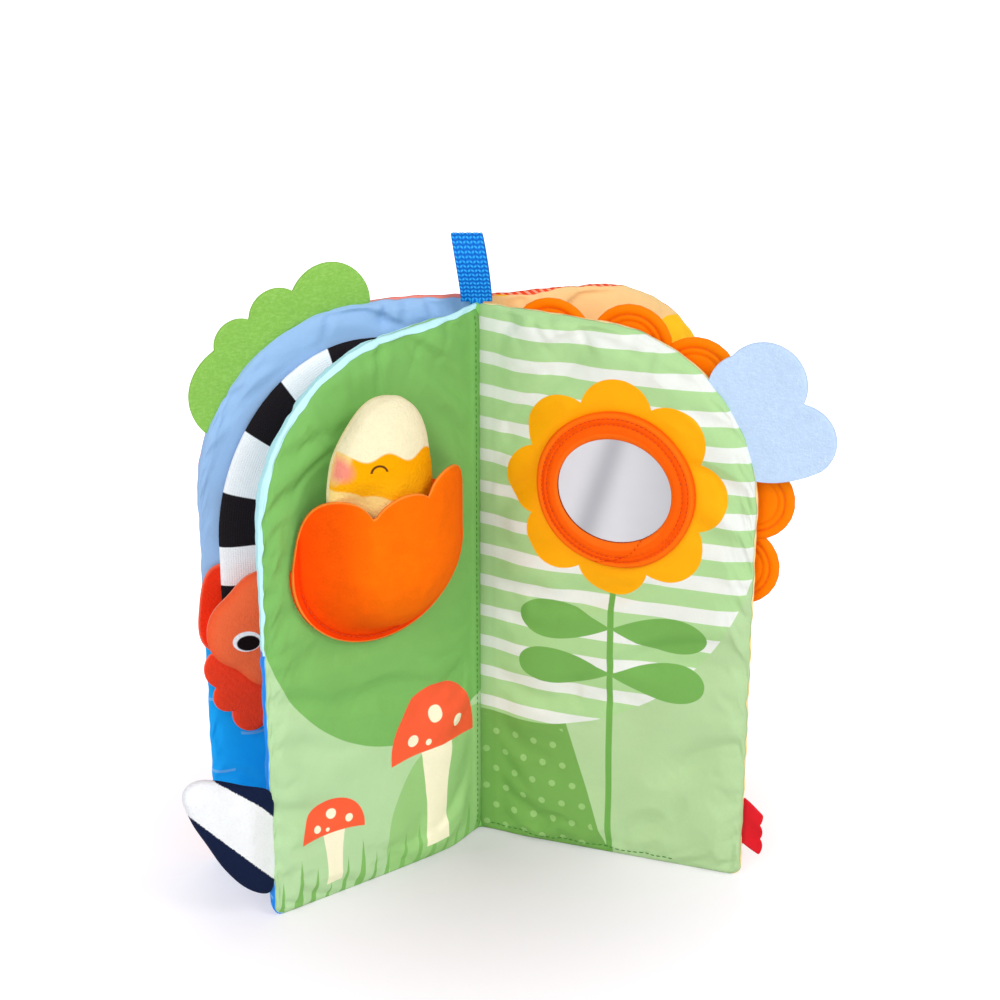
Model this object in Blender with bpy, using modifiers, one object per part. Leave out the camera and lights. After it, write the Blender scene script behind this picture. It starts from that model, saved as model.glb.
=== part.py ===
"""Soft cloth book: four padded pages on one spine, with sewn-on and tucked-in toys.

The book stands open on its bottom edges. The spine is the upright line at the origin,
and each page is a leaf that turns about it. A place on a page is given as
(out, up, proud): out from the spine, up from the floor, and proud of the page's middle
on its anticlockwise side as seen from above.
"""

import math

import bmesh
import bpy
from mathutils import Matrix, Vector

# Page: lengths in metres, angles in degrees
PAGE_HEIGHT = 0.240
CORNER_WIDTH = 0.069
CORNER_HEIGHT = 0.070
TOP_DROP = 0.002
FABRIC = 0.0008
PUFF = 0.0045
EDGE_ROLL = 0.014
SPINE_ROLL = 0.030
FOOT_CUT = 0.0005
FILM = 0.0003
CLEARANCE = 0.0003

# Spine and the pages' hinges on it
SPINE_RADIUS = 0.0026
SPINE_DEPTH = 0.009
PAGE_ROOT = SPINE_RADIUS + 3 * CLEARANCE
ROOT_FADE = 0.014

# Each page: width, bearing in plan, extra turn where it leaves the spine, hinge place
FRONT_COVER_WIDTH = 0.118
LEFT_PAGE_WIDTH = 0.112
RIGHT_PAGE_WIDTH = 0.119
BACK_COVER_WIDTH = 0.118
FRONT_COVER_BEARING = 197.0
LEFT_PAGE_BEARING = 217.2
RIGHT_PAGE_BEARING = 340.0
BACK_COVER_BEARING = 29.0
LEFT_PAGE_ROOT_TURN = 26.0

# Carry loop of woven webbing
LOOP_WIDTH = 0.0126
LOOP_WEBBING = 0.0012
LOOP_FOOT = 0.0006
LOOP_LEG = 0.017
LOOP_BELLY = 0.0048
LOOP_CROWN = 0.010
LOOP_LEAN = 0.0048

# Mirror on the right page
MIRROR_SHARES = (0.517, 0.705)
MIRROR_SIGHT_RADIUS = 0.0238
MIRROR_LAP = 0.0025
MIRROR_PAD = 0.0012
MIRROR_FILM = 0.0008
RING_RADIUS = 0.0333
RING_HEIGHT = 0.0037
RING_ROUND = 0.0012

# Garland of stitched petals behind the right page
PETAL_RADIUS = 0.0170
PETAL_THICKNESS = 0.0030
PETAL_GROOVE_IN = 0.0042
PETAL_GROOVE_WIDTH = 0.0010
PETAL_GROOVE_DEPTH = 0.0010
PETAL_SHARES = (
    (0.250, 0.940),
    (0.528, 0.942),
    (0.758, 0.898),
    (0.915, 0.806),
    (0.968, 0.698),
    (0.925, 0.576),
    (0.778, 0.478),
    (0.545, 0.440),
)

# Felt pieces sewn into the page seams
FELT = 0.0024
FELT_SEAM = 0.003
CLOUD_ROOT_SHARES = ((0.818, 0.912), (1.004, 0.745))
CLOUD_NOTCH_SHARES = ((1.135, 0.884),)
CLOUD_BULGE_SHARES = (0.54, 0.56)
BUSH_ROOT_SHARES = ((0.964, 0.806), (0.381, 1.003))
BUSH_NOTCH_SHARES = ((0.919, 0.945), (0.797, 0.993), (0.646, 1.036))
BUSH_BULGE_SHARES = (0.25, 0.30, 0.30, 0.46)
LABEL_WIDTH = 0.0080
LABEL_HEIGHT = 0.0258
LABEL_THICKNESS = 0.0014
LABEL_FOOT = 0.0115

# Striped arch and the fish that slides on it, inside the front cover
ARCH_WIDTH = 0.024
ARCH_INSET = 0.0068
ARCH_TOP_INSET = 0.0140
ARCH_SHOULDER = 0.021
ARCH_THICKNESS = 0.0012
ARCH_CROWN = 0.0010
ARCH_START_SHARE = 0.34
ARCH_FOOT_SHARE = 0.40
ARCH_LAID_SHARE = 0.35
REAR_FIN = 0.0015
LOWER_FIN = 0.0025
FISH_HALF_WIDTH = 0.023
FISH_HALF_HEIGHT = 0.026
FISH_HALF_THICKNESS = 0.0060
FISH_SHARES = (0.822, 0.470)
FISH_GUSSET = 0.0040
FISH_GUSSET_HEIGHT = 0.024
REAR_FIN_SHARES = ((0.72, 0.96), (1.03, 0.22), (0.93, -0.42), (0.10, -0.70), (-0.75, -0.25), (-0.45, 0.85))
LOWER_FIN_SHARES = ((0.88, -0.42), (0.83, -1.03), (0.56, -1.47), (-0.02, -1.78), (-0.58, -1.42), (-0.60, -0.50))
LOWER_FIN_BULGE_SHARES = (0.29, 0.36, 0.36, 0.36, 0.10)

# Tulip pocket and the chick in it, on the left page
POCKET_HALF_WIDTH = 0.041
POCKET_DEPTH = 0.036
POCKET_LOBES = (0.043, 0.034, 0.040)
POCKET_BACK_LOBES = (0.012, 0.027, 0.035)
POCKET_NOTCH = 0.0075
POCKET_NOTCH_SHARES = (0.35, 0.60)
POCKET_VELOUR = 0.0014
POCKET_BACK = 0.0010
POCKET_SHARES = (0.532, 0.622)
POCKET_FULL_SHARE = 0.45
POCKET_FALL_SHARES = (0.6, 2.2)
POCKET_EASE_SHARE = 1.06
CHICK_HALF_WIDTH = 0.0242
CHICK_HALF_HEIGHT = 0.040
CHICK_HALF_THICKNESS = 0.0140
CHICK_TAPER_SHARE = 0.07
CHICK_SHOULDER_SHARE = 0.76
CHICK_SHARES = (0.602, 0.755)
PLUSH = 0.0011

# Stuffed tail in the left page's outer seam
TAIL_REACH = 0.037
TAIL_HEIGHT = 0.060
TAIL_FOOT = 0.012
TAIL_HALF_THICKNESS = 0.0065
TAIL_CENTRE_SHARES = (0.42, 0.54)
TAIL_SHARES = (
    (0.03, 0.76), (0.30, 0.87), (0.78, 1.00), (1.00, 0.93), (0.92, 0.72), (0.76, 0.50), (0.55, 0.27),
    (0.30, 0.08), (0.06, 0.00), (0.03, 0.20), (0.03, 0.48),
)

# How finely the forms are cut
COLUMNS = 10
CORNER_START_SHARE = 0.4
ROWS = 9
PLAN_STEPS = 240
ROUND_SEGMENTS = 28
TOY_SEGMENTS = 18
TOY_RINGS = 8
LOBE_STEPS = 9
MERGE = 0.00001

PAGE_SKIN = CLEARANCE / 2 + FABRIC
PAGE_FACE = PAGE_SKIN + PUFF


def clear_scene():
    for item in list(bpy.data.objects):
        bpy.data.objects.remove(item, do_unlink=True)


def new_collection(name):
    collection = bpy.data.collections.new(name)
    bpy.context.scene.collection.children.link(collection)
    return collection


def make_material(name, colour, roughness, metallic=0.0):
    material = bpy.data.materials.new(name)
    material.use_nodes = True
    shader = material.node_tree.nodes["Principled BSDF"]
    shader.inputs["Base Color"].default_value = (*colour, 1.0)
    shader.inputs["Roughness"].default_value = roughness
    shader.inputs["Metallic"].default_value = metallic
    material.diffuse_color = (*colour, 1.0)
    return material


class Leaf:
    """One page: its plan curve, its outline and its padding, in its own hinge's frame."""

    def __init__(self, name, width, bearing, root_turn=0.0, hinge_back=0.0):
        self.name = name
        self.width = width
        self.bearing = bearing
        self.root_turn = math.radians(root_turn)
        self.hinge = empty(name + "_hinge", (0.0, hinge_back, 0.0), rotation=(0, 0, math.radians(bearing)))
        self.step = width / PLAN_STEPS
        self.plan = [Vector((0.0, 0.0))]
        for index in range(PLAN_STEPS):
            turn = self.turn_at((index + 0.5) * self.step)
            self.plan.append(self.plan[-1] + self.step * Vector((math.cos(turn), math.sin(turn))))

    def turn_at(self, out):
        """The page leaves the spine turned, and straightens over ROOT_FADE."""
        return self.root_turn * math.exp(-out / ROOT_FADE)

    def place(self, out, up, proud=0.0):
        index = min(int(out / self.step), PLAN_STEPS)
        turn = self.turn_at(out)
        along = Vector((math.cos(turn), math.sin(turn)))
        spot = self.plan[index] + (out - index * self.step) * along
        return Vector((spot.x - proud * along.y, spot.y + proud * along.x, up))

    def corner_start(self):
        return self.width - CORNER_WIDTH

    def top(self, out, inset=0.0):
        """Height of the top edge, which falls a little and then rounds the corner."""
        start = self.corner_start()
        if out <= start:
            return PAGE_HEIGHT - inset - TOP_DROP * (out / start) ** 2
        share = min((out - start) / (CORNER_WIDTH - inset), 1.0)
        centre = PAGE_HEIGHT - TOP_DROP - CORNER_HEIGHT
        return centre + (CORNER_HEIGHT - inset) * math.sqrt(1 - share * share)

    def edge_distance(self, out, up):
        start = self.corner_start()
        centre = PAGE_HEIGHT - TOP_DROP - CORNER_HEIGHT
        if out > start and up > centre:
            radial = math.hypot((out - start) / CORNER_WIDTH, (up - centre) / CORNER_HEIGHT)
            return (1 - radial) * CORNER_HEIGHT
        if up > centre:
            return self.top(out) - up
        return self.width - out if out > start else EDGE_ROLL

    def puff(self, out, up):
        """Half the padding: full in the middle, and nothing at the seams."""
        edge = rise(self.edge_distance(out, up) / EDGE_ROLL)
        foot = rise((up + FOOT_CUT) / EDGE_ROLL)
        root = rise((out - PAGE_ROOT) / SPINE_ROLL)
        return PUFF * edge * foot * root

    def spot(self, across, upward):
        """Grid shares to a place on the page, closer together at the seams."""
        start = self.corner_start()
        if across <= CORNER_START_SHARE:
            out = PAGE_ROOT + (start - PAGE_ROOT) * across / CORNER_START_SHARE
        else:
            share = (across - CORNER_START_SHARE) / (1 - CORNER_START_SHARE)
            out = start + CORNER_WIDTH * math.sin(share * math.pi / 2)
        return out, self.top(out) * (1 - math.cos(math.pi * upward)) / 2

    def at_shares(self, shares):
        return shares[0] * self.width, shares[1] * PAGE_HEIGHT


def rise(share):
    share = min(max(share, 0.0), 1.0)
    return 1 - (1 - share) ** 2


def empty(name, location, rotation=(0, 0, 0), parent=None):
    pivot = bpy.data.objects.new(name, None)
    pivot.location = location
    pivot.rotation_euler = rotation
    pivot.parent = parent
    pivot.empty_display_size = SPINE_DEPTH
    BOOK.objects.link(pivot)
    return pivot


def add_object(name, data, parent, material, smooth=True):
    piece = bpy.data.objects.new(name, data)
    piece.parent = parent
    piece.data.materials.append(material)
    BOOK.objects.link(piece)
    if smooth and isinstance(data, bpy.types.Mesh):
        data.shade_smooth()
        data.set_sharp_from_angle(angle=math.radians(40))
    return piece


def finish_mesh(work, name):
    work.normal_update()
    bmesh.ops.recalc_face_normals(work, faces=work.faces[:])
    mesh = bpy.data.meshes.new(name)
    work.to_mesh(mesh)
    work.free()
    return mesh


def two_faced(name, columns, rows, near_face, far_face, parent, material):
    """A closed sheet: a grid laid on one surface, and its extruded copy on the other."""
    work = bmesh.new()
    bmesh.ops.create_grid(work, x_segments=columns, y_segments=rows, size=1)
    near = list(work.verts)
    made = bmesh.ops.extrude_face_region(work, geom=work.faces[:])
    far = [item for item in made["geom"] if isinstance(item, bmesh.types.BMVert)]
    for verts, face in ((near, near_face), (far, far_face)):
        for vert in verts:
            vert.co = face((vert.co.x + 1) / 2, (vert.co.y + 1) / 2)
    bmesh.ops.triangulate(work, faces=work.faces[:], quad_method="FIXED")
    return add_object(name, finish_mesh(work, name), parent, material)


def page_layer(name, leaf, low, high, material, trim=0):
    """A layer of a page between two heights; trim leaves out whole grid rows at the seams."""
    columns = COLUMNS - 2 * trim
    rows = ROWS - 2 * trim

    def face(height):
        def at(across, upward):
            out, up = leaf.spot((trim + across * columns) / COLUMNS, (trim + upward * rows) / ROWS)
            return leaf.place(out, up, height(leaf.puff(out, up)))
        return at

    return two_faced(name, columns, rows, face(low), face(high), leaf.hinge, material)


def page_skins(leaf, left_name, left_material, right_name, right_material):
    """The two printed fabrics of a page, sewn together all round."""
    inner = CLEARANCE / 2
    page_layer(left_name, leaf, lambda puff: inner + puff, lambda puff: PAGE_SKIN + puff, left_material)
    page_layer(right_name, leaf, lambda puff: -inner - puff, lambda puff: -PAGE_SKIN - puff, right_material)


def page_filling(leaf, batting, film=None):
    """Batting in one layer, or in two with a crinkle film between them."""
    if film is None:
        page_layer(leaf.name + "_batting", leaf, lambda puff: CLEARANCE - puff,
                   lambda puff: puff - CLEARANCE, batting, trim=1)
        return
    middle = FILM / 2 + CLEARANCE
    page_layer(leaf.name + "_batting_left", leaf, lambda puff: middle,
               lambda puff: puff - CLEARANCE, batting, trim=1)
    page_layer(leaf.name + "_batting_right", leaf, lambda puff: -middle,
               lambda puff: CLEARANCE - puff, batting, trim=1)
    page_layer(leaf.name + "_crinkle_film", leaf, lambda puff: -FILM / 2, lambda puff: FILM / 2, film, trim=1)


def flat_outline(name, points, thickness, location, parent, material):
    """A flat piece in the page's plane, as thick as its material, about its middle."""
    curve = bpy.data.curves.new(name, "CURVE")
    curve.dimensions = "2D"
    curve.fill_mode = "BOTH"
    curve.extrude = thickness / 2
    spline = curve.splines.new("POLY")
    spline.points.add(len(points) - 1)
    for point, (across, up) in zip(spline.points, points):
        point.co = (across, up, 0, 1)
    spline.use_cyclic_u = True
    piece = add_object(name, curve, parent, material)
    piece.location = location
    piece.rotation_euler = (math.radians(90), 0, 0)
    return piece


def arc_between(start, end, bulge_share, steps=LOBE_STEPS):
    """Points from start up to end along an arc that bulges to the right of the chord."""
    start, end = Vector(start), Vector(end)
    chord = end - start
    bulge = bulge_share * chord.length
    radius = (chord.length ** 2 / 4 + bulge ** 2) / (2 * bulge)
    normal = Vector((chord.y, -chord.x)).normalized()
    centre = (start + end) / 2 + (bulge - radius) * normal
    first = math.atan2(*(start - centre).yx)
    last = math.atan2(*(end - centre).yx)
    if last < first:
        last += 2 * math.pi
    angles = [first + (last - first) * step / steps for step in range(steps)]
    return [centre + radius * Vector((math.cos(angle), math.sin(angle))) for angle in angles]


def lobed(points, bulge_shares):
    outline = []
    for start, end, share in zip(points, points[1:], bulge_shares):
        outline += arc_between(start, end, share)
    return outline + [Vector(points[-1])]


def smooth_closed(points, count):
    """Points at even steps on a smooth closed curve through the given ones."""
    total = len(points)
    outline = []
    for index in range(count):
        whole = index * total / count
        base = int(whole)
        share = whole - base
        before, here, ahead, after = (Vector(points[(base + shift) % total]) for shift in (-1, 0, 1, 2))
        outline.append(0.5 * (2 * here + share * (ahead - before)
                              + share ** 2 * (2 * before - 5 * here + 4 * ahead - after)
                              + share ** 3 * (3 * here - before - 3 * ahead + after)))
    return outline


def stuffed(name, outline, half_thickness, material, parent, side=0, fabric=0.0):
    """A swelling form on an outline about its origin; side picks one half's open shell."""
    work = bmesh.new()
    bmesh.ops.create_uvsphere(work, u_segments=TOY_SEGMENTS, v_segments=TOY_RINGS, radius=1)
    layers = [(work.verts[:], 0.0)]
    if side:
        everything = work.verts[:] + work.edges[:] + work.faces[:]
        bmesh.ops.bisect_plane(work, geom=everything, plane_co=(0, 0, 0), plane_no=(0, 0, side),
                               clear_inner=True)
        outer = work.verts[:]
        made = bmesh.ops.extrude_face_region(work, geom=work.faces[:])
        inner = [item for item in made["geom"] if isinstance(item, bmesh.types.BMVert)]
        layers = [(outer, 0.0), (inner, fabric)]
    for verts, inset in layers:
        for vert in verts:
            reach = math.hypot(vert.co.x, vert.co.y)
            turn = math.atan2(vert.co.y, vert.co.x) / (2 * math.pi)
            rim = outline[round(turn * TOY_SEGMENTS) % TOY_SEGMENTS]
            rim = rim * (1 - inset / rim.length)
            depth = (half_thickness - inset) * vert.co.z + side * CLEARANCE / 2
            vert.co = (rim.x * reach, -depth, rim.y * reach)
    return add_object(name, finish_mesh(work, name), parent, material)


def stuffed_toy(name, outline, half_thickness, fabric, left, right, filling, parent):
    """Two sewn shells with their stuffing between them."""
    stuffed(name + "_left_panel", outline, half_thickness, left, parent, side=-1, fabric=fabric)
    stuffed(name + "_right_panel", outline, half_thickness, right, parent, side=1, fabric=fabric)
    inset = fabric + 2 * CLEARANCE
    core = [point * (1 - inset / point.length) for point in outline]
    stuffed(name + "_stuffing", core, half_thickness - inset, filling, parent)


def turned(name, profile, parent, material, location, closed=False, facing=1):
    """A round piece from half its section, with its axis square to the page."""
    work = bmesh.new()
    verts = [work.verts.new((radius, 0, height)) for radius, height in profile]
    for start, end in zip(verts, verts[1:]):
        work.edges.new((start, end))
    if closed:
        work.edges.new((verts[-1], verts[0]))
    mesh = bpy.data.meshes.new(name)
    work.to_mesh(mesh)
    work.free()
    piece = add_object(name, mesh, parent, material)
    piece.location = location
    piece.rotation_euler = (math.radians(90 * facing), 0, 0)
    screw = piece.modifiers.new("turn", "SCREW")
    screw.axis = "Z"
    screw.steps = ROUND_SEGMENTS
    screw.render_steps = ROUND_SEGMENTS
    screw.use_merge_vertices = True
    screw.merge_threshold = MERGE
    screw.use_smooth_shade = True
    return piece


def make_spine(material):
    """The bound edge that all pages are sewn to: a flat tube with round ends."""
    outline = []
    for centre, first in ((SPINE_DEPTH, 0), (0.0, 180)):
        for step in range(LOBE_STEPS):
            angle = math.radians(first + 180 * step / (LOBE_STEPS - 1))
            outline.append((SPINE_RADIUS * math.cos(angle), centre + SPINE_RADIUS * math.sin(angle)))
    spine = flat_outline("spine_binding", outline, PAGE_HEIGHT, (0, 0, PAGE_HEIGHT / 2), None, material)
    spine.rotation_euler = (0, 0, 0)


def loop_path(share):
    """Place and direction on the loop's middle line, from one root over to the other."""
    root = (LOOP_WEBBING + CLEARANCE) / 2
    leg_share = 0.36
    if leg_share <= share <= 1 - leg_share:
        turn = math.pi * (share - leg_share) / (1 - 2 * leg_share)
        spot = Vector((-LOOP_BELLY * math.cos(turn), LOOP_LEG + LOOP_CROWN * math.sin(turn)))
        along = Vector((LOOP_BELLY * math.sin(turn), LOOP_CROWN * math.cos(turn)))
        return spot, along.normalized()
    side = -1 if share < leg_share else 1
    climb = (share if side < 0 else 1 - share) / leg_share
    swell = math.sin(climb * math.pi / 2)
    spot = Vector((side * (root + (LOOP_BELLY - root) * swell), LOOP_LEG * climb))
    widen = (LOOP_BELLY - root) * math.cos(climb * math.pi / 2) * math.pi / 2
    return spot, Vector((widen, -side * LOOP_LEG)).normalized()


def make_loop(material):
    """The carry loop: a strip of webbing folded over, both ends in the spine's top."""
    pivot = empty("loop_hinge", (0, 0, PAGE_HEIGHT + CLEARANCE))
    steps = 22
    reach = LOOP_LEG + LOOP_CROWN

    def face(offset):
        def at(across, along_share):
            spot, along = loop_path(along_share)
            outward = Vector((-along.y, along.x))
            spot = spot + offset * outward
            height = max(spot.y, 0.0)
            lean = -LOOP_LEAN * (height / reach) ** 1.3
            return Vector(((across - 0.5) * LOOP_WIDTH + lean, spot.x, LOOP_FOOT + height))
        return at

    two_faced("carry_loop", 2, steps, face(-LOOP_WEBBING / 2), face(LOOP_WEBBING / 2), pivot, material)


def make_mirror(leaf, pad, film, ring):
    """A mirror film on a thin pad, held by a bound ring, on the page's clockwise side."""
    out, up = leaf.at_shares(MIRROR_SHARES)
    seat = leaf.place(out, up, -PAGE_FACE - CLEARANCE)
    radius = MIRROR_SIGHT_RADIUS + MIRROR_LAP
    film_low = MIRROR_PAD + CLEARANCE
    film_high = film_low + MIRROR_FILM
    turned("mirror_pad", [(0, MIRROR_PAD), (radius, MIRROR_PAD), (radius, 0), (0, 0)], leaf.hinge, pad, seat)
    turned("mirror_film", [(0, film_high), (radius, film_high), (radius, film_low), (0, film_low)],
           leaf.hinge, film, seat)
    lip = film_high + CLEARANCE
    bore = radius + CLEARANCE
    middle = (MIRROR_SIGHT_RADIUS + RING_RADIUS) / 2
    profile = [
        (middle, RING_HEIGHT),
        (RING_RADIUS - RING_ROUND, RING_HEIGHT - RING_ROUND / 2),
        (RING_RADIUS, RING_HEIGHT - 2 * RING_ROUND),
        (RING_RADIUS, 0),
        (bore, 0),
        (bore, lip),
        (MIRROR_SIGHT_RADIUS, lip),
        (MIRROR_SIGHT_RADIUS + RING_ROUND, RING_HEIGHT - RING_ROUND / 4),
    ]
    turned("mirror_ring", profile, leaf.hinge, ring, seat, closed=True)


def make_garland(leaf, material):
    """Overlapping round petals, each with a stitched groove, joined into one piece."""
    groove = PETAL_RADIUS - PETAL_GROOVE_IN
    profile = [
        (0, PETAL_THICKNESS),
        (groove - PETAL_GROOVE_WIDTH, PETAL_THICKNESS),
        (groove, PETAL_THICKNESS - PETAL_GROOVE_DEPTH),
        (groove + PETAL_GROOVE_WIDTH, PETAL_THICKNESS),
        (PETAL_RADIUS - PETAL_GROOVE_WIDTH, PETAL_THICKNESS),
        (PETAL_RADIUS, PETAL_THICKNESS - PETAL_GROOVE_DEPTH),
        (PETAL_RADIUS, 0),
        (0, 0),
    ]
    garland = None
    for shares in PETAL_SHARES:
        out, up = leaf.at_shares(shares)
        seat = leaf.place(out, up, PAGE_FACE + CLEARANCE)
        petal = turned("petal_garland", profile, leaf.hinge, material, seat, facing=-1)
        if garland is None:
            garland = petal
            continue
        petal.name = "petal_guide"
        petal.hide_render = True
        petal.display_type = "WIRE"
        BOOK.objects.unlink(petal)
        GUIDES.objects.link(petal)
        union = garland.modifiers.new("next petal", "BOOLEAN")
        union.operation = "UNION"
        union.object = petal
    return garland


def outline_points(leaf, first, last):
    """Points on the page's round corner from one height down to another, just outside it."""
    gap = CLEARANCE
    centre_out = leaf.corner_start()
    centre_up = PAGE_HEIGHT - TOP_DROP - CORNER_HEIGHT
    points = []
    for step in range(LOBE_STEPS + 1):
        angle = first + (last - first) * step / LOBE_STEPS
        out = centre_out + (CORNER_WIDTH + gap) * math.sin(angle)
        up = centre_up + (CORNER_HEIGHT + gap) * math.cos(angle)
        points.append((out, max(up, leaf.top(out) + gap) if out < centre_out else up))
    return points


def corner_angle(leaf, shares):
    """Where a place on the outline lies round the corner, from the top edge on."""
    out, up = leaf.at_shares(shares)
    centre_up = PAGE_HEIGHT - TOP_DROP - CORNER_HEIGHT
    return math.atan2((out - leaf.corner_start()) / CORNER_WIDTH, (up - centre_up) / CORNER_HEIGHT)


def make_felt(name, leaf, root_shares, notch_shares, bulge_shares, material):
    """A lobed felt shape whose root follows the seam that it is sewn into."""
    first, last = (corner_angle(leaf, shares) for shares in root_shares)
    root = outline_points(leaf, first, last)
    notches = [leaf.at_shares(shares) for shares in notch_shares]
    edge = lobed([root[-1], *notches[::-1], root[0]], bulge_shares[::-1])
    chord = Vector(root[-1]) - Vector(root[0])
    inward = Vector((chord.y, -chord.x)).normalized()
    seam = (Vector(root[0]) + Vector(root[-1])) / 2 + FELT_SEAM * inward
    slope = math.atan2(chord.y, chord.x)
    pivot = empty(name + "_hinge", leaf.place(seam.x, seam.y), rotation=(0, -slope, 0), parent=leaf.hinge)
    turned_back = Matrix.Rotation(-slope, 2)
    points = [turned_back @ (Vector(point) - seam) for point in edge[:-1] + root[:-1]]
    flat_outline(name, points, FELT, (0, 0, 0), pivot, material)


def make_label(leaf, material):
    """A folded ribbon, sewn into the page's outer seam."""
    pivot = empty("label_hinge", leaf.place(leaf.width + CLEARANCE, LABEL_FOOT), parent=leaf.hinge)
    work = bmesh.new()
    bmesh.ops.create_cube(work, size=1)
    bmesh.ops.scale(work, verts=work.verts, vec=(LABEL_WIDTH, LABEL_THICKNESS, LABEL_HEIGHT))
    bmesh.ops.translate(work, verts=work.verts, vec=(CLEARANCE + LABEL_WIDTH / 2, 0, LABEL_HEIGHT / 2))
    label = add_object("ribbon_label", finish_mesh(work, "ribbon_label"), pivot, material)
    bevel = label.modifiers.new("fold", "BEVEL")
    bevel.width = LABEL_THICKNESS / 4
    bevel.segments = 2


def arch_spot(leaf, across, share):
    """Place on the arch: over the shoulder of its own round corner, and down."""
    start = leaf.corner_start()
    first = ARCH_START_SHARE * leaf.width
    shoulder = PAGE_HEIGHT - TOP_DROP - CORNER_HEIGHT - ARCH_SHOULDER
    half_width = CORNER_WIDTH - ARCH_INSET - ARCH_WIDTH * across
    half_height = CORNER_HEIGHT + ARCH_SHOULDER - ARCH_TOP_INSET - ARCH_WIDTH * across
    run = start - first
    drop = shoulder - ARCH_FOOT_SHARE * PAGE_HEIGHT
    bend = math.pi / 4 * (CORNER_WIDTH + CORNER_HEIGHT + ARCH_SHOULDER - ARCH_INSET - ARCH_TOP_INSET - ARCH_WIDTH)
    way = share * (run + bend + drop)
    if way <= run:
        return first + way, shoulder + half_height
    if way <= run + bend:
        angle = math.pi / 2 * (way - run) / bend
        return start + half_width * math.sin(angle), shoulder + half_height * math.cos(angle)
    return start + half_width, shoulder - (way - run - bend)


def arch_low(share):
    """The arch is sewn down at its top end and stands off for the fin behind it."""
    lift = rise(share / ARCH_LAID_SHARE)
    return PAGE_FACE + CLEARANCE + (REAR_FIN + CLEARANCE) * lift


def make_arch(leaf, material):
    def face(crowned):
        def at(across, along_share):
            out, up = arch_spot(leaf, across, along_share)
            proud = arch_low(along_share)
            if crowned:
                proud += ARCH_THICKNESS + ARCH_CROWN * math.sin(math.pi * across)
            return leaf.place(out, up, proud)
        return at

    two_faced("striped_arch", 4, 18, face(False), face(True), leaf.hinge, material)


def make_fish(leaf, head, rear, fin, filling):
    """A stuffed head before the arch, a fin behind it, a gusset beside it, a fin below."""
    out, up = leaf.at_shares(FISH_SHARES)
    arch_top = arch_low(1.0) + ARCH_THICKNESS + ARCH_CROWN
    fin_low = arch_top + CLEARANCE
    head_low = fin_low + LOWER_FIN + CLEARANCE
    pivot = empty("fish_slider", leaf.place(out, up), parent=leaf.hinge)

    def sized(shares):
        return [(across * FISH_HALF_WIDTH, above * FISH_HALF_HEIGHT) for across, above in shares]

    rear_middle = PAGE_FACE + CLEARANCE + REAR_FIN / 2
    flat_outline("fish_rear_fin", smooth_closed(sized(REAR_FIN_SHARES), 24), REAR_FIN,
                 (0, rear_middle, 0), pivot, rear)
    lower = lobed(sized(LOWER_FIN_SHARES)[::-1], LOWER_FIN_BULGE_SHARES[::-1])
    flat_outline("fish_lower_fin", lower, LOWER_FIN, (0, fin_low + LOWER_FIN / 2, 0), pivot, fin)
    holder = empty("fish_middle", (0, head_low + FISH_HALF_THICKNESS, 0), parent=pivot)
    outline = []
    for index in range(TOY_SEGMENTS):
        angle = 2 * math.pi * index / TOY_SEGMENTS
        outline.append(Vector((FISH_HALF_WIDTH * math.cos(angle), FISH_HALF_HEIGHT * math.sin(angle))))
    stuffed_toy("fish_head", outline, FISH_HALF_THICKNESS, PLUSH, head, head, filling, holder)
    gusset_low = PAGE_FACE + 2 * CLEARANCE + REAR_FIN
    gusset_high = fin_low - CLEARANCE + LOWER_FIN
    gusset_in = leaf.width - ARCH_INSET + 2 * CLEARANCE - out
    work = bmesh.new()
    bmesh.ops.create_cube(work, size=1)
    bmesh.ops.scale(work, verts=work.verts, vec=(FISH_GUSSET, gusset_high - gusset_low, FISH_GUSSET_HEIGHT))
    middle = (gusset_in + FISH_GUSSET / 2, (gusset_low + gusset_high) / 2, FISH_GUSSET_HEIGHT / 4)
    bmesh.ops.translate(work, verts=work.verts, vec=middle)
    add_object("fish_gusset", finish_mesh(work, "fish_gusset"), pivot, rear)


def pocket_spot(across, upward, offset, lobes, flat=False):
    """Place on the pocket, from its outer side round the front to its spine side."""
    turn = math.pi * across
    ends = (0.0, *POCKET_NOTCH_SHARES, 1.0)
    index = sum(across >= notch for notch in POCKET_NOTCH_SHARES)
    lobe = lobes[index]
    scallop = abs(math.sin(math.pi * (across - ends[index]) / (ends[index + 1] - ends[index]))) ** 0.6
    bottom = -POCKET_DEPTH * math.sin(turn)
    notched = min(lobes) if flat else min(lobes) - POCKET_NOTCH
    top = (notched + (lobe - notched) * scallop) * math.sin(turn) ** 0.3
    full = math.sin(math.pi / 2 * min(upward / POCKET_FULL_SHARE, 1.0))
    belly = (2 * CHICK_HALF_THICKNESS + POCKET_BACK + 3 * CLEARANCE) * POCKET_EASE_SHARE
    outer_fall, spine_fall = POCKET_FALL_SHARES
    fall = outer_fall + (spine_fall - outer_fall) * (1 - math.cos(turn)) / 2
    swell = math.sin(turn) ** fall * full
    proud = PAGE_FACE + CLEARANCE + offset + (0 if flat else belly * swell)
    return POCKET_HALF_WIDTH * math.cos(turn), bottom + (top - bottom) * upward, proud


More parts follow.
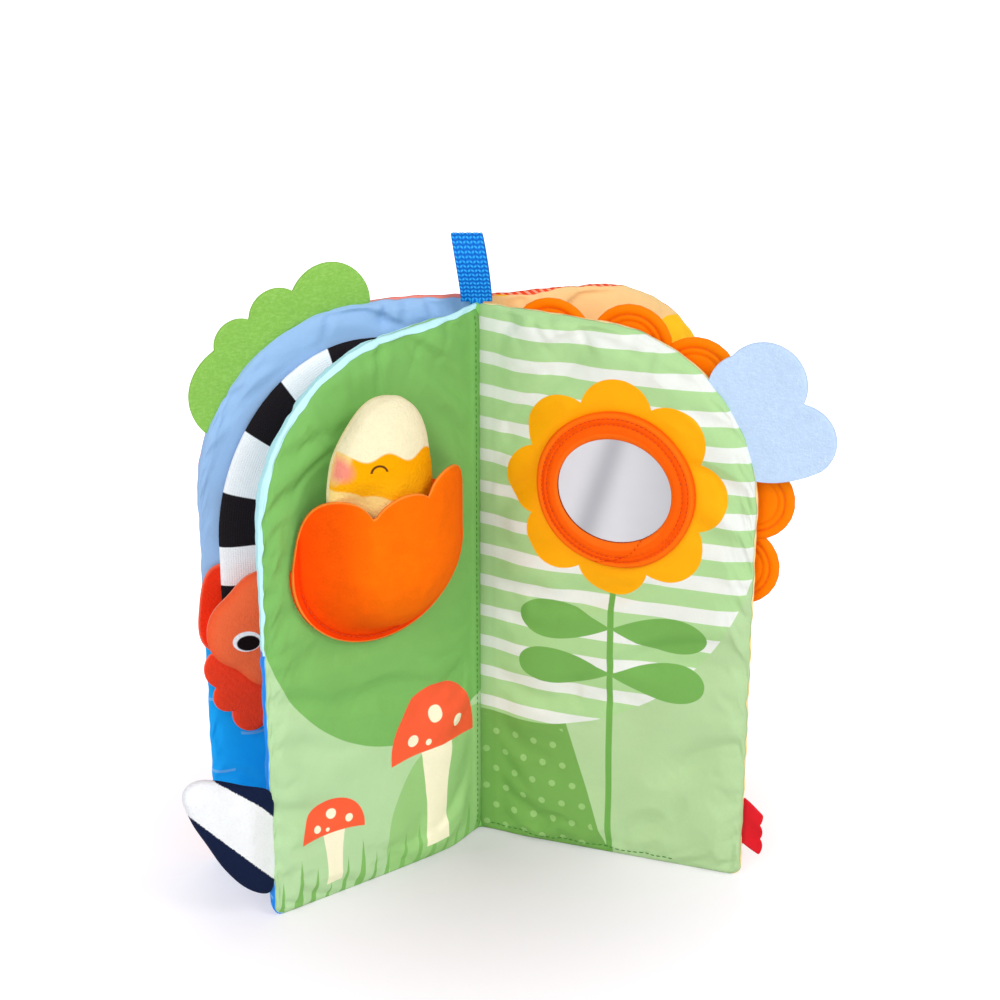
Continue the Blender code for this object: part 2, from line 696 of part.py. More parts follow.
def make_pocket(leaf, front, back):
    out, up = leaf.at_shares(POCKET_SHARES)

    def face(offset, lobes, flat=False):
        def at(across, upward):
            along, above, proud = pocket_spot(across, upward, offset, lobes, flat)
            return leaf.place(out + along, up + above, proud)
        return at

    low = POCKET_BACK + CLEARANCE
    two_faced("tulip_pocket_front", 20, 7, face(low, POCKET_LOBES), face(low + POCKET_VELOUR, POCKET_LOBES),
              leaf.hinge, front)
    two_faced("tulip_pocket_back", 20, 4, face(0.0, POCKET_BACK_LOBES, True),
              face(POCKET_BACK, POCKET_BACK_LOBES, True), leaf.hinge, back)


def make_chick(leaf, front, back, filling):
    """The egg-shaped chick, which stands in the pocket and lifts out."""
    out, up = leaf.at_shares(CHICK_SHARES)
    proud = PAGE_FACE + POCKET_BACK + 2 * CLEARANCE + CHICK_HALF_THICKNESS
    pivot = empty("chick_slider", leaf.place(out, up, proud), parent=leaf.hinge)
    outline = []
    for index in range(TOY_SEGMENTS):
        angle = 2 * math.pi * index / TOY_SEGMENTS
        taper = 1 - CHICK_TAPER_SHARE * math.sin(angle)
        across = math.copysign(abs(math.cos(angle)) ** CHICK_SHOULDER_SHARE, math.cos(angle))
        outline.append(Vector((CHICK_HALF_WIDTH * taper * across, CHICK_HALF_HEIGHT * math.sin(angle))))
    stuffed_toy("chick", outline, CHICK_HALF_THICKNESS, PLUSH, front, back, filling, pivot)


def make_tail(leaf, outer, inner, filling):
    """A stuffed tail, sewn into the outer seam low down."""
    seam = leaf.width + CLEARANCE
    middle = Vector((TAIL_CENTRE_SHARES[0] * TAIL_REACH, TAIL_CENTRE_SHARES[1] * TAIL_HEIGHT))
    pivot = empty("tail_hinge", leaf.place(seam, TAIL_FOOT), parent=leaf.hinge)
    holder = empty("tail_middle", (middle.x, 0, middle.y), parent=pivot)
    points = [(across * TAIL_REACH, above * TAIL_HEIGHT) for across, above in TAIL_SHARES]
    outline = smooth_closed([Vector(point) - middle for point in points[::-1]], TOY_SEGMENTS)
    stuffed_toy("tail", outline, TAIL_HALF_THICKNESS, PLUSH, inner, outer, filling, holder)


def main():
    leaf_green = make_material("leaf_green_fabric", (0.16, 0.46, 0.10), 0.6)
    stripe_green = make_material("striped_green_fabric", (0.42, 0.66, 0.32), 0.6)
    sky = make_material("sky_blue_fabric", (0.32, 0.56, 0.88), 0.6)
    coral = make_material("coral_fabric", (0.85, 0.22, 0.20), 0.6)
    cyan = make_material("pale_cyan_fabric", (0.45, 0.85, 0.92), 0.6)
    peach = make_material("peach_fabric", (0.98, 0.70, 0.34), 0.6)
    apricot = make_material("apricot_fabric", (0.98, 0.62, 0.24), 0.6)
    gingham = make_material("red_gingham_fabric", (0.80, 0.10, 0.06), 0.6)
    batting = make_material("polyester_batting", (0.90, 0.90, 0.88), 0.95)
    film = make_material("crinkle_film", (0.85, 0.88, 0.90), 0.2)
    webbing = make_material("blue_webbing", (0.01, 0.22, 0.72), 0.7)
    binding = make_material("green_binding", (0.20, 0.48, 0.14), 0.7)
    mirror = make_material("mirror_film", (0.80, 0.80, 0.82), 0.08, metallic=1.0)
    tape = make_material("orange_bias_tape", (1.00, 0.13, 0.01), 0.6)
    petal = make_material("orange_petal_fabric", (1.00, 0.22, 0.01), 0.6)
    cloud = make_material("light_blue_felt", (0.55, 0.70, 0.92), 0.95)
    bush = make_material("green_felt", (0.24, 0.55, 0.12), 0.95)
    stripes = make_material("black_white_rib", (0.70, 0.70, 0.72), 0.8)
    scarlet = make_material("scarlet_velour", (0.90, 0.08, 0.02), 0.85)
    vermilion = make_material("orange_red_velour", (0.95, 0.14, 0.05), 0.85)
    crimson = make_material("deep_red_velour", (0.80, 0.05, 0.02), 0.85)
    velour = make_material("orange_velour", (1.00, 0.12, 0.01), 0.85)
    lining = make_material("red_orange_velour", (0.85, 0.07, 0.01), 0.85)
    egg = make_material("cream_plush", (0.95, 0.88, 0.62), 0.95)
    yolk = make_material("yellow_plush", (1.00, 0.55, 0.05), 0.95)
    navy = make_material("navy_plush", (0.02, 0.04, 0.12), 0.95)
    white = make_material("white_plush", (0.88, 0.90, 0.94), 0.95)
    ribbon = make_material("red_ribbon", (0.75, 0.02, 0.03), 0.5)

    front_cover = Leaf("front_cover", FRONT_COVER_WIDTH, FRONT_COVER_BEARING, hinge_back=SPINE_DEPTH)
    left_page = Leaf("left_page", LEFT_PAGE_WIDTH, LEFT_PAGE_BEARING, root_turn=LEFT_PAGE_ROOT_TURN)
    right_page = Leaf("right_page", RIGHT_PAGE_WIDTH, RIGHT_PAGE_BEARING)
    back_cover = Leaf("back_cover", BACK_COVER_WIDTH, BACK_COVER_BEARING, hinge_back=SPINE_DEPTH)

    make_spine(binding)
    make_loop(webbing)
    page_skins(front_cover, "front_cover_inner_fabric", sky, "front_cover_outer_fabric", coral)
    page_skins(left_page, "left_page_front_fabric", leaf_green, "left_page_back_fabric", cyan)
    page_skins(right_page, "right_page_back_fabric", apricot, "right_page_front_fabric", stripe_green)
    page_skins(back_cover, "back_cover_outer_fabric", gingham, "back_cover_inner_fabric", peach)
    page_filling(front_cover, batting)
    page_filling(left_page, batting, film)
    page_filling(right_page, batting)
    page_filling(back_cover, batting, film)
    make_mirror(right_page, batting, mirror, tape)
    make_garland(right_page, petal)
    make_felt("felt_cloud", right_page, CLOUD_ROOT_SHARES, CLOUD_NOTCH_SHARES, CLOUD_BULGE_SHARES, cloud)
    make_felt("felt_bush", front_cover, BUSH_ROOT_SHARES[::-1], BUSH_NOTCH_SHARES[::-1],
              BUSH_BULGE_SHARES[::-1], bush)
    make_label(right_page, ribbon)
    make_arch(front_cover, stripes)
    make_fish(front_cover, vermilion, scarlet, crimson, batting)
    make_pocket(left_page, velour, lining)
    make_chick(left_page, yolk, egg, batting)
    make_tail(left_page, navy, white, batting)


clear_scene()
BOOK = new_collection("soft_cloth_book")
GUIDES = new_collection("guides")
main()
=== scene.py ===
"""The soft cloth book, dressed: printed padded pages, sewn-on pieces, toys, light and camera.

A place on a page is (out, up, proud), as in the part's source: out from the spine, up from
the floor, and proud of the page's middle on its anticlockwise side as seen from above.
The "page" attribute holds (out, up, distance to the seam) in millimetres for the prints.
"""

import math

import bmesh
import bpy
import numpy as np
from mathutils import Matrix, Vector


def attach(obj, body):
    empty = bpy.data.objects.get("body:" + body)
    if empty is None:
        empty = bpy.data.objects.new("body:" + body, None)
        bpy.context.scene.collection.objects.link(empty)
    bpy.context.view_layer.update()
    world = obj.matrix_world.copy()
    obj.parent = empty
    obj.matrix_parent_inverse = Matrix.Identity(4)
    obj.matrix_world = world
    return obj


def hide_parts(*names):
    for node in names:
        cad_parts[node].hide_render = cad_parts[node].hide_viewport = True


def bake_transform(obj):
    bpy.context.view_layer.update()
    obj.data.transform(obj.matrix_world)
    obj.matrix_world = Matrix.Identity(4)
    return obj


MM = 0.001

# Sizes that the part's source gives
PAGE_HEIGHT = 0.240
CORNER_WIDTH = 0.069
CORNER_HEIGHT = 0.070
TOP_DROP = 0.002
CORNER_CENTRE = PAGE_HEIGHT - TOP_DROP - CORNER_HEIGHT
PAGE_FACE = 0.00545
CLEARANCE = 0.0003
SPINE_RADIUS = 0.0026
SPINE_DEPTH = 0.009
ROOT_FADE = 0.014
MIRROR_SPOT = (0.0615, 0.1692)
MIRROR_SIGHT_RADIUS = 0.0238
RING_RADIUS = 0.0333
PETAL_SHARES = (
    (0.250, 0.940),
    (0.528, 0.942),
    (0.758, 0.898),
    (0.915, 0.806),
    (0.968, 0.698),
    (0.925, 0.576),
    (0.778, 0.478),
    (0.545, 0.440),
)
FELT = 0.0024
ARCH_WIDTH = 0.024
ARCH_INSET = 0.0068
ARCH_TOP_INSET = 0.0140
ARCH_SHOULDER = 0.021
ARCH_START_SHARE = 0.34
ARCH_FOOT_SHARE = 0.40
POCKET_SPOT = (0.0596, 0.1493)
POCKET_HALF_WIDTH = 0.041
POCKET_DEPTH = 0.036
POCKET_NOTCH_SHARES = (0.35, 0.60)
CHICK_SPOT = (0.06742, 0.1812, 0.02105)
CHICK_HALF = (0.0242, 0.040, 0.0140)
FISH_SPOT = (0.0970, 0.1128)
FISH_HALF = (0.023, 0.026, 0.0060)
TAIL_SPOT = (0.1123, 0.012)

# How the padding is made
EDGE_ROLL = 0.013
ROOT_HALF = 0.0024
CHANNEL_HALF = 0.0017
CHANNEL_OUT = 0.0075
SPINE_ROLL = 0.030
SIM_COLUMNS = 38
SIM_ROWS = 74
SIM_FRAMES = 20
SIM_PRESSURE = 4.0
SIM_EASE = -0.035
PAGE_COLUMNS = 112
PAGE_ROWS = 200
ROUND_STEPS = 120
FOOT_CORNER = 0.005

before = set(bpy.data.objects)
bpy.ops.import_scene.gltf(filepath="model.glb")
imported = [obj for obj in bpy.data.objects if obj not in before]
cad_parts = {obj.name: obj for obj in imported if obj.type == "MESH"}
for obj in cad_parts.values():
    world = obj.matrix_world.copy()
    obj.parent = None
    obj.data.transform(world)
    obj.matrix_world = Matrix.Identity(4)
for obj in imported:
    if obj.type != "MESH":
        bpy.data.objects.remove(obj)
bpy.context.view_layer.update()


def rgb(red, green, blue):
    """A colour written as on screen, 0 to 255, for a shader."""
    linear = []
    for part in (red, green, blue):
        share = part / 255
        linear.append(share / 12.92 if share <= 0.04045 else ((share + 0.055) / 1.055) ** 2.4)
    return (*linear, 1.0)


def smooth(share):
    share = np.clip(share, 0.0, 1.0)
    return share * share * (3 - 2 * share)


def roll(share):
    """Rises like a rounded edge: upright at first, level at the end."""
    share = np.clip(share, 0.0, 1.0)
    return np.sqrt(1 - (1 - share) ** 2)


# Materials


def feed(tree, node, inputs):
    """Each input gets its plain value, or a link from what works it out."""
    for name, value in inputs.items():
        value = value.socket if isinstance(value, Term) else value
        if isinstance(value, bpy.types.NodeSocket):
            tree.links.new(value, node.inputs[name])
        elif value is not None:
            node.inputs[name].default_value = value


def add_node(tree, kind, inputs=None, **settings):
    node = tree.nodes.new(kind)
    for name, value in settings.items():
        setattr(node, name, value)
    feed(tree, node, inputs or {})
    return node


def operation(name):
    """A method that puts one kind of Math node to work on a term."""
    return lambda term, *others: term.do(name, *others)


class Term:
    """A number in a shader, so that a print is written as plain sums."""

    def __init__(self, tree, socket):
        self.tree = tree
        self.socket = socket

    def do(self, name, *others, clamp=False):
        inputs = dict(enumerate((self, *others)))
        node = add_node(self.tree, "ShaderNodeMath", inputs, operation=name, use_clamp=clamp)
        return Term(self.tree, node.outputs[0])

    __add__ = __radd__ = operation("ADD")
    __sub__ = operation("SUBTRACT")
    __mul__ = __rmul__ = operation("MULTIPLY")
    __truediv__ = operation("DIVIDE")
    size = operation("ABSOLUTE")
    least = operation("MINIMUM")
    most = operation("MAXIMUM")
    power = operation("POWER")
    root = operation("SQRT")
    floor = operation("FLOOR")
    exponent = operation("EXPONENT")

    def __rsub__(self, other):
        return self * -1 + other

    def sine(self, period, start=0.0):
        """A wave from -1 to 1 whose crest lies a quarter period after start."""
        return ((self - start) * (2 * math.pi / period)).do("SINE")

    def cell(self, pitch):
        """Distance from the middle of the cell that this place is in."""
        return (self / pitch).do("FRACT") * pitch - pitch / 2

    def held(self, factor=1.0):
        """The number times a factor, kept between 0 and 1."""
        return self.do("MULTIPLY", factor, clamp=True)

    def inside(self, soft=0.25):
        """1 where this distance is below nothing, 0 above, with a soft edge."""
        return (self * (-1 / soft)).do("ADD", 0.5, clamp=True)


def far(across, along):
    return (across * across + along * along).root()


def circle(out, up, centre, radius):
    return far(out - centre[0], up - centre[1]) - radius


def dots(out, up, pitch_out, pitch_up, shift, radius):
    """Distance to the nearest of many round dots; each row is shifted past the one below."""
    across = (out + (up / pitch_up).floor() * shift).cell(pitch_out)
    return far(across, up.cell(pitch_up)) - radius


class Finish:
    """A cloth material: a colour built up in layers, and a surface relief."""

    def __init__(self, name, colour, roughness=0.8, sheen=0.0, specular=0.3, metallic=0.0):
        self.material = bpy.data.materials.new(name)
        self.material.use_nodes = True
        self.tree = self.material.node_tree
        self.shader = self.tree.nodes["Principled BSDF"]
        self.colour = rgb(*colour)
        self.relief = None
        feed(self.tree, self.shader, {
            "Roughness": roughness,
            "Metallic": metallic,
            "Specular IOR Level": specular,
            "Sheen Weight": sheen,
            "Sheen Roughness": 0.5,
            "Sheen Tint": self.colour,
        })

    def node(self, kind, inputs=None, **settings):
        return add_node(self.tree, kind, inputs, **settings)

    def field(self, name):
        place = self.node("ShaderNodeAttribute", attribute_name=name).outputs["Vector"]
        parts = self.node("ShaderNodeSeparateXYZ", {0: place})
        return [Term(self.tree, socket) for socket in parts.outputs]

    def noise(self, grain, detail=2.0, stretch=(1, 1, 1), field=None):
        """Mottling about as large as grain, in metres, around a half."""
        if field is None:
            place = self.node("ShaderNodeTexCoord").outputs["Object"]
            scale = 1 / grain
        else:
            place = self.node("ShaderNodeAttribute", attribute_name=field).outputs["Vector"]
            scale = MM / grain
        scales = [scale * share for share in stretch]
        mapping = self.node("ShaderNodeMapping", {"Vector": place, "Scale": scales})
        inputs = {"Vector": mapping.outputs[0], "Scale": 1.0, "Detail": detail}
        return Term(self.tree, self.node("ShaderNodeTexNoise", inputs).outputs["Fac"])

    def glaze(self, colour, mask):
        """Another colour over the last, as far as the mask says."""
        inputs = {"Factor": mask, "A": self.colour, "B": rgb(*colour)}
        self.colour = self.node("ShaderNodeMix", inputs, data_type="RGBA").outputs["Result"]
        return self

    def paint(self, colour, distance, soft=0.25, strength=1.0):
        """Another colour where the distance is below nothing."""
        return self.glaze(colour, distance.inside(soft) * strength)

    def tone(self, variation, amount):
        """Lightens and darkens the colour by a share of amount either way."""
        inputs = {"Color": self.colour, "Value": (variation - 0.5) * (2 * amount) + 1.0}
        self.colour = self.node("ShaderNodeHueSaturation", inputs).outputs["Color"]
        return self

    def raise_by(self, height, depth):
        """Adds relief of the given depth, in metres, where height goes from 0 to 1."""
        inputs = {"Distance": depth, "Height": height, "Normal": self.relief}
        self.relief = self.node("ShaderNodeBump", inputs).outputs["Normal"]
        return self

    def mottled(self, grain, detail, amount, **place):
        return self.tone(self.noise(grain, detail, **place), amount)

    def grained(self, grain, detail, depth, **place):
        return self.raise_by(self.noise(grain, detail, **place), depth)

    def done(self):
        feed(self.tree, self.shader, {"Base Color": self.colour, "Normal": self.relief})
        return self.material


THREAD_PITCH = 0.55


def woven(finish, out, up, depth=0.00004):
    """A plain weave: threads over and under each other, and slubs in them."""
    finish.mottled(0.009, 3.0, 0.035)
    finish.mottled(0.0011, 2.0, 0.03, field="page")
    weave = out.sine(THREAD_PITCH) * up.sine(THREAD_PITCH) * 0.5 + 0.5
    finish.raise_by(weave, depth)
    finish.grained(0.004, 3.0, 0.00012, field="page")
    return finish.done()


def napped(finish, pile=0.0009, depth=0.00035, mottle=0.07):
    """Velour and plush: short pile that catches the light in patches."""
    finish.mottled(0.006, 4.0, mottle)
    finish.mottled(pile, 3.0, mottle * 0.8)
    finish.grained(pile, 4.0, depth)
    finish.grained(pile * 0.35, 2.0, depth * 0.5)
    return finish.done()


def felted(name, colour, light):
    finish = Finish(name, colour, roughness=0.95, sheen=0.25, specular=0.05)
    fibres = finish.noise(0.0016, 6.0, stretch=(1, 1, 1.7))
    finish.glaze(light, (fibres - 0.45).held(2.2))
    finish.mottled(0.005, 3.0, 0.05)
    finish.grained(0.0007, 5.0, 0.0003)
    finish.grained(0.0022, 3.0, 0.0003)
    return finish.done()


def thread(name, colour):
    finish = Finish(name, colour, roughness=0.55, specular=0.4)
    finish.grained(0.0004, 1.0, 0.0001)
    return finish.done()


# Meshes


def new_mesh(name, points, faces, fields):
    mesh = bpy.data.meshes.new(name)
    mesh.from_pydata([tuple(point) for point in points], [], faces)
    for field, values in fields.items():
        layer = mesh.attributes.new(field, "FLOAT_VECTOR", "POINT")
        layer.data.foreach_set("vector", np.asarray(values, np.float32).ravel())
    work = bmesh.new()
    work.from_mesh(mesh)
    bmesh.ops.remove_doubles(work, verts=work.verts, dist=1e-7)
    bmesh.ops.recalc_face_normals(work, faces=work.faces)
    work.to_mesh(mesh)
    work.free()
    mesh.shade_smooth()
    return mesh


def full_turn(steps):
    """Angles at even steps once round."""
    return np.linspace(0, 2 * math.pi, steps, endpoint=False)


def triple(*parts):
    """Three grids of numbers, or single numbers, as one grid of places."""
    return np.stack(np.broadcast_arrays(*parts), axis=-1)


def way_along(line):
    """The distance to each point of a line from its first."""
    return np.concatenate([[0], np.cumsum(np.linalg.norm(np.diff(line, axis=0), axis=1))])


def at_way(spots, way, line):
    """The line's points at other distances from its first."""
    return np.stack([np.interp(spots, way, line[:, axis]) for axis in range(line.shape[1])], axis=-1)


def rim_of(shape):
    rim = np.ones(shape, bool)
    rim[1:-1, 1:-1] = False
    return rim


def quads(numbers):
    """The four-sided faces of a grid of point numbers."""
    corners = (numbers[:-1, :-1], numbers[:-1, 1:], numbers[1:, 1:], numbers[1:, :-1])
    return np.stack(corners, axis=-1).reshape(-1, 4).tolist()


def bands(numbers, ring=False):
    """Faces that join each loop of a grid to the next, and in a ring the last to the first."""
    return quads(np.pad(numbers, ((0, int(ring)), (0, 1)), mode="wrap"))


def closed_grid(name, near, other, **fields):
    """A closed sheet from two equal grids of points that are joined along their rims."""
    numbers = np.arange(near[..., 0].size).reshape(near.shape[:2])
    faces = []
    for face, below in zip(quads(numbers), quads(numbers + numbers.size)):
        faces += [face, below[::-1]]
    rim = [*numbers[0], *numbers[1:, -1], *numbers[-1, -2::-1], *numbers[-2:0:-1, 0]]
    for here, ahead in zip(rim, rim[1:] + rim[:1]):
        faces.append([int(ahead), int(here), int(here) + numbers.size, int(ahead) + numbers.size])
    points = np.concatenate([near.reshape(-1, 3), other.reshape(-1, 3)])
    doubled = {key: np.concatenate([value.reshape(-1, 3)] * 2) for key, value in fields.items()}
    return new_mesh(name, points, faces, doubled)


def closed_loops(name, loops, ring=False, **fields):
    """A closed form from equal loops of points; a ring joins the last to the first."""
    numbers = np.arange(loops[..., 0].size).reshape(loops.shape[:2])
    faces = bands(numbers, ring)
    if not ring:
        for offset, row in enumerate(numbers[[0, -1]]):
            middle = numbers.size + offset
            faces += [(middle, int(here), int(side)) for here, side in zip(row, np.roll(row, -1))]
        grids = (loops, *fields.values())
        loops, *values = ((grid.reshape(-1, 3), grid[[0, -1]].mean(axis=1)) for grid in grids)
        fields = {key: np.concatenate(value) for key, value in zip(fields, values)}
        loops = np.concatenate(loops)
    return new_mesh(name, loops.reshape(-1, 3), faces, fields)


def add_object(name, data):
    thing = bpy.data.objects.new(name, data)
    bpy.context.scene.collection.objects.link(thing)
    return thing


def add_piece(name, mesh, material, body, replaced=(), across=None):
    """A piece on its body, or, where across is given, left in its world place on no body."""
    piece = add_object(name, mesh)
    mesh.materials.append(material)
    if across is None:
        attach(piece, body)
    else:
        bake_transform(piece)
    if replaced:
        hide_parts(*replaced)
    return piece


# Along a thread dash: share of its length from the middle, and share of its thickness
DASH_PROFILE = ((-0.5, 0.3), (-0.3, 0.95), (0.0, 1.1), (0.3, 0.95), (0.5, 0.3))


def stitched(name, path, outward, material, body, pitch=0.0030, length=0.0020, radius=0.00022,
             ring=False):
    """Thread dashes along a path of points, lying on the surface that faces outward."""
    path = np.asarray(path, float)
    outward = np.broadcast_to(outward, path.shape)
    if ring:
        path = np.concatenate([path, path[:1]])
        outward = np.concatenate([outward, outward[:1]])
    way = way_along(path)
    count = max(int(way[-1] / pitch), 1)
    angles = full_turn(6)[:, None]
    shares = np.array([share for share, _ in DASH_PROFILE])
    points, faces = [], []
    for index in range(count):
        middle = (index + 0.5) * way[-1] / count
        line = at_way(middle + shares * length, way, path)
        normal = at_way(middle, way, outward)
        normal /= np.linalg.norm(normal)
        along = line[-1] - line[0]
        along /= max(np.linalg.norm(along), 1e-9)
        swing = np.cos(angles) * np.cross(normal, along) + np.sin(angles) * normal
        numbers = len(points) + np.arange(angles.size * len(shares)).reshape(len(shares), -1)
        for centre, (share, size) in zip(line, DASH_PROFILE):
            points += list(centre + radius * (0.9 - 4 * share * share) * normal + radius * size * swing)
        faces += bands(numbers) + [numbers[0, ::-1].tolist(), numbers[-1].tolist()]
    return add_piece(name, new_mesh(name, points, faces, {}), material, body)


# Pages

PLAN_STEPS = 240
PUFF_FOOT = 0.13
PUFF_RISE = 0.105
LEVEL_COLUMNS = 0.4
ROOT_START = 0.0004


class Leaf:
    """One page: its plan curve and outline, in its own hinge's frame."""

    def __init__(self, body, width, bearing, seam_shift, root_turn=0.0, hinge_back=0.0, puff=0.0):
        self.body = body
        self.width = width
        self.seam_shift = seam_shift
        self.bearing = math.radians(bearing)
        self.root_turn = math.radians(root_turn)
        self.hinge_back = hinge_back
        self.puff = puff
        self.start = width - CORNER_WIDTH
        self.ways = np.linspace(0.0, width, PLAN_STEPS + 1)
        middles = (self.ways[1:] + self.ways[:-1]) / 2
        turns = self.root_turn * np.exp(-middles / ROOT_FADE)
        steps = np.stack([np.cos(turns), np.sin(turns)], axis=1) * (width / PLAN_STEPS)
        self.plan = np.concatenate([[[0.0, 0.0]], np.cumsum(steps, axis=0)])

    def place(self, out, up, proud=0.0):
        """World places of page places; all three may be arrays."""
        out, up, proud = np.broadcast_arrays(*(np.asarray(value, float) for value in (out, up, proud)))
        held = np.clip(out, 0.0, self.width)
        raised = smooth((up - PUFF_FOOT) / PUFF_RISE)
        up = up + self.puff * np.sin(math.pi * (held / self.width) ** 0.8) * raised
        turn = self.root_turn * np.exp(-held / ROOT_FADE)
        beyond = out - held
        x = np.interp(held, self.ways, self.plan[:, 0]) + beyond * np.cos(turn) - proud * np.sin(turn)
        y = np.interp(held, self.ways, self.plan[:, 1]) + beyond * np.sin(turn) + proud * np.cos(turn)
        cosine, sine = math.cos(self.bearing), math.sin(self.bearing)
        return triple(cosine * x - sine * y, sine * x + cosine * y + self.hinge_back, up)

    def facing(self, side):
        """The direction square to the flat of the page, on one side."""
        return side * np.array([-math.sin(self.bearing), math.cos(self.bearing), 0.0])

    def top(self, out):
        share = np.clip((out - self.start) / CORNER_WIDTH, 0.0, 1.0)
        flat = PAGE_HEIGHT - TOP_DROP * np.clip(out / self.start, 0.0, 1.0) ** 2
        return flat - CORNER_HEIGHT * (1 - np.sqrt(1 - share * share))

    def into_corner(self, out, up):
        """How far a place is into the round corner, as shares of its half axes."""
        side = np.maximum((out - self.start) / CORNER_WIDTH, 0.0)
        return side, np.maximum((up - CORNER_CENTRE) / CORNER_HEIGHT, 0.0)

    def seam(self, out, up):
        """Distance to the outer and top seam, and the way along it from the spine's top."""
        side, rise = self.into_corner(out, up)
        distance = (1 - np.hypot(side, rise)) * CORNER_HEIGHT
        distance = distance + TOP_DROP * (1 - np.clip(out / self.start, 0.0, 1.0) ** 2) * (rise > 0)
        angle = np.arctan2(side, np.maximum(rise, 1e-9))
        way = np.minimum(out, self.start) + angle * CORNER_HEIGHT + np.maximum(CORNER_CENTRE - up, 0.0)
        past = out - self.width + FOOT_CORNER
        corner = FOOT_CORNER - np.hypot(past, FOOT_CORNER - up)
        distance = np.where((past > 0) & (up < FOOT_CORNER), np.minimum(distance, corner), distance)
        return np.maximum(distance, 0.0), way

    def off_seam(self, out, up):
        """The direction in the page, square to its outer and top seam."""
        side, rise = self.into_corner(out, up)
        size = np.maximum(np.hypot(side, rise), 1e-6)
        return side / size, rise / size

    def grid(self, columns, rows):
        """Places out and up of a grid that is closer at the seams."""
        across = np.linspace(0.0, 1.0, columns + 1)
        upward = np.linspace(0.0, 1.0, rows + 1)
        share = np.clip((across - LEVEL_COLUMNS) / (1 - LEVEL_COLUMNS), 0.0, 1.0)
        first = ROOT_START + (self.start - ROOT_START) * np.minimum(across / LEVEL_COLUMNS, 1.0)
        out = first + CORNER_WIDTH * np.sin(share * math.pi / 2)
        out = np.broadcast_to(out, (rows + 1, columns + 1))
        eased = 0.45 * upward + 0.55 * (1 - np.cos(math.pi * upward)) / 2
        up = eased[:, None] * self.top(out)
        low = np.clip(1 - up / FOOT_CORNER, 0.0, 1.0)
        drawn_in = FOOT_CORNER * (1 - np.sqrt(1 - low * low))
        return out - drawn_in * smooth((out - self.width) / (4 * FOOT_CORNER) + 1), up

    def fullness(self, out, up):
        """Share of the full padding: level in the middle, rounded at the seams."""
        edge, _ = self.seam(out, up)
        return roll(edge / EDGE_ROLL) * roll((up + 0.3 * MM) / EDGE_ROLL)

    def half(self, out):
        """Half the padding along the page: the root, the sewn channel, and the swell."""
        root = ROOT_HALF + (CHANNEL_HALF - ROOT_HALF) * smooth((out - 0.002) / (CHANNEL_OUT - 0.002))
        swell = np.sin(np.clip((out - CHANNEL_OUT) / SPINE_ROLL, 0, 1) * math.pi / 2)
        return root + (PAGE_FACE - CHANNEL_HALF) * swell


FRONT_COVER = Leaf("front_cover", 0.118, 197.0, 0.0022, hinge_back=SPINE_DEPTH, puff=0.0042)
LEFT_PAGE = Leaf("left_page", 0.112, 217.2, 0.0024, root_turn=26.0)
RIGHT_PAGE = Leaf("right_page", 0.119, 340.0, -0.0014)
BACK_COVER = Leaf("back_cover", 0.118, 29.0, -0.0018, hinge_back=SPINE_DEPTH)
LEAVES = (FRONT_COVER, LEFT_PAGE, RIGHT_PAGE, BACK_COVER)


def blurred(heights, passes):
    """The grid's broad shape, by passes of a mean that counts the middle twice."""
    for _ in range(passes):
        wide = np.pad(heights, 1, mode="edge")
        beside = wide[1:-1, :-2] + wide[1:-1, 2:]
        heights = (wide[1:-1, 1:-1] * 2 + wide[:-2, 1:-1] + wide[2:, 1:-1] + beside) / 6
    return heights


CLOTH_SETTINGS = {
    "quality": 6,
    "mass": 0.15,
    "tension_stiffness": 12.0,
    "compression_stiffness": 8.0,
    "bending_stiffness": 0.15,
    "use_pressure": True,
    "uniform_pressure_force": SIM_PRESSURE,
    "shrink_min": SIM_EASE,
    "vertex_group_mass": "held",
}


def cloth_pad(leaf):
    """A flat pad of the page's outline, held at its seams, ready to be blown up as cloth."""
    out, up = leaf.grid(SIM_COLUMNS, SIM_ROWS)
    swell = 0.55 * leaf.half(out) * leaf.fullness(out, up)
    near = triple(out, swell, up)
    near[rim_of(out.shape), 1] = 0.0
    numbers = np.arange(out.size).reshape(out.shape)
    name = leaf.body + "_pad"
    mesh = closed_grid(name, near, near * (1, -1, 1), spot=triple(numbers, numbers, numbers))
    pad = add_object(name, mesh)
    held = pad.vertex_groups.new(name="held")
    for vert in pad.data.vertices:
        column, row = vert.co.x, vert.co.z
        edge, _ = leaf.seam(np.array(column), np.array(row))
        if edge < 0.0008 or row < 0.0008 or column < CHANNEL_OUT:
            held.add([vert.index], 1.0, "REPLACE")
    cloth = pad.modifiers.new("Cloth", "CLOTH")
    for setting, value in CLOTH_SETTINGS.items():
        setattr(cloth.settings, setting, value)
    cloth.settings.effector_weights.gravity = 0.0
    cloth.point_cache.frame_start = 1
    cloth.point_cache.frame_end = SIM_FRAMES
    return pad


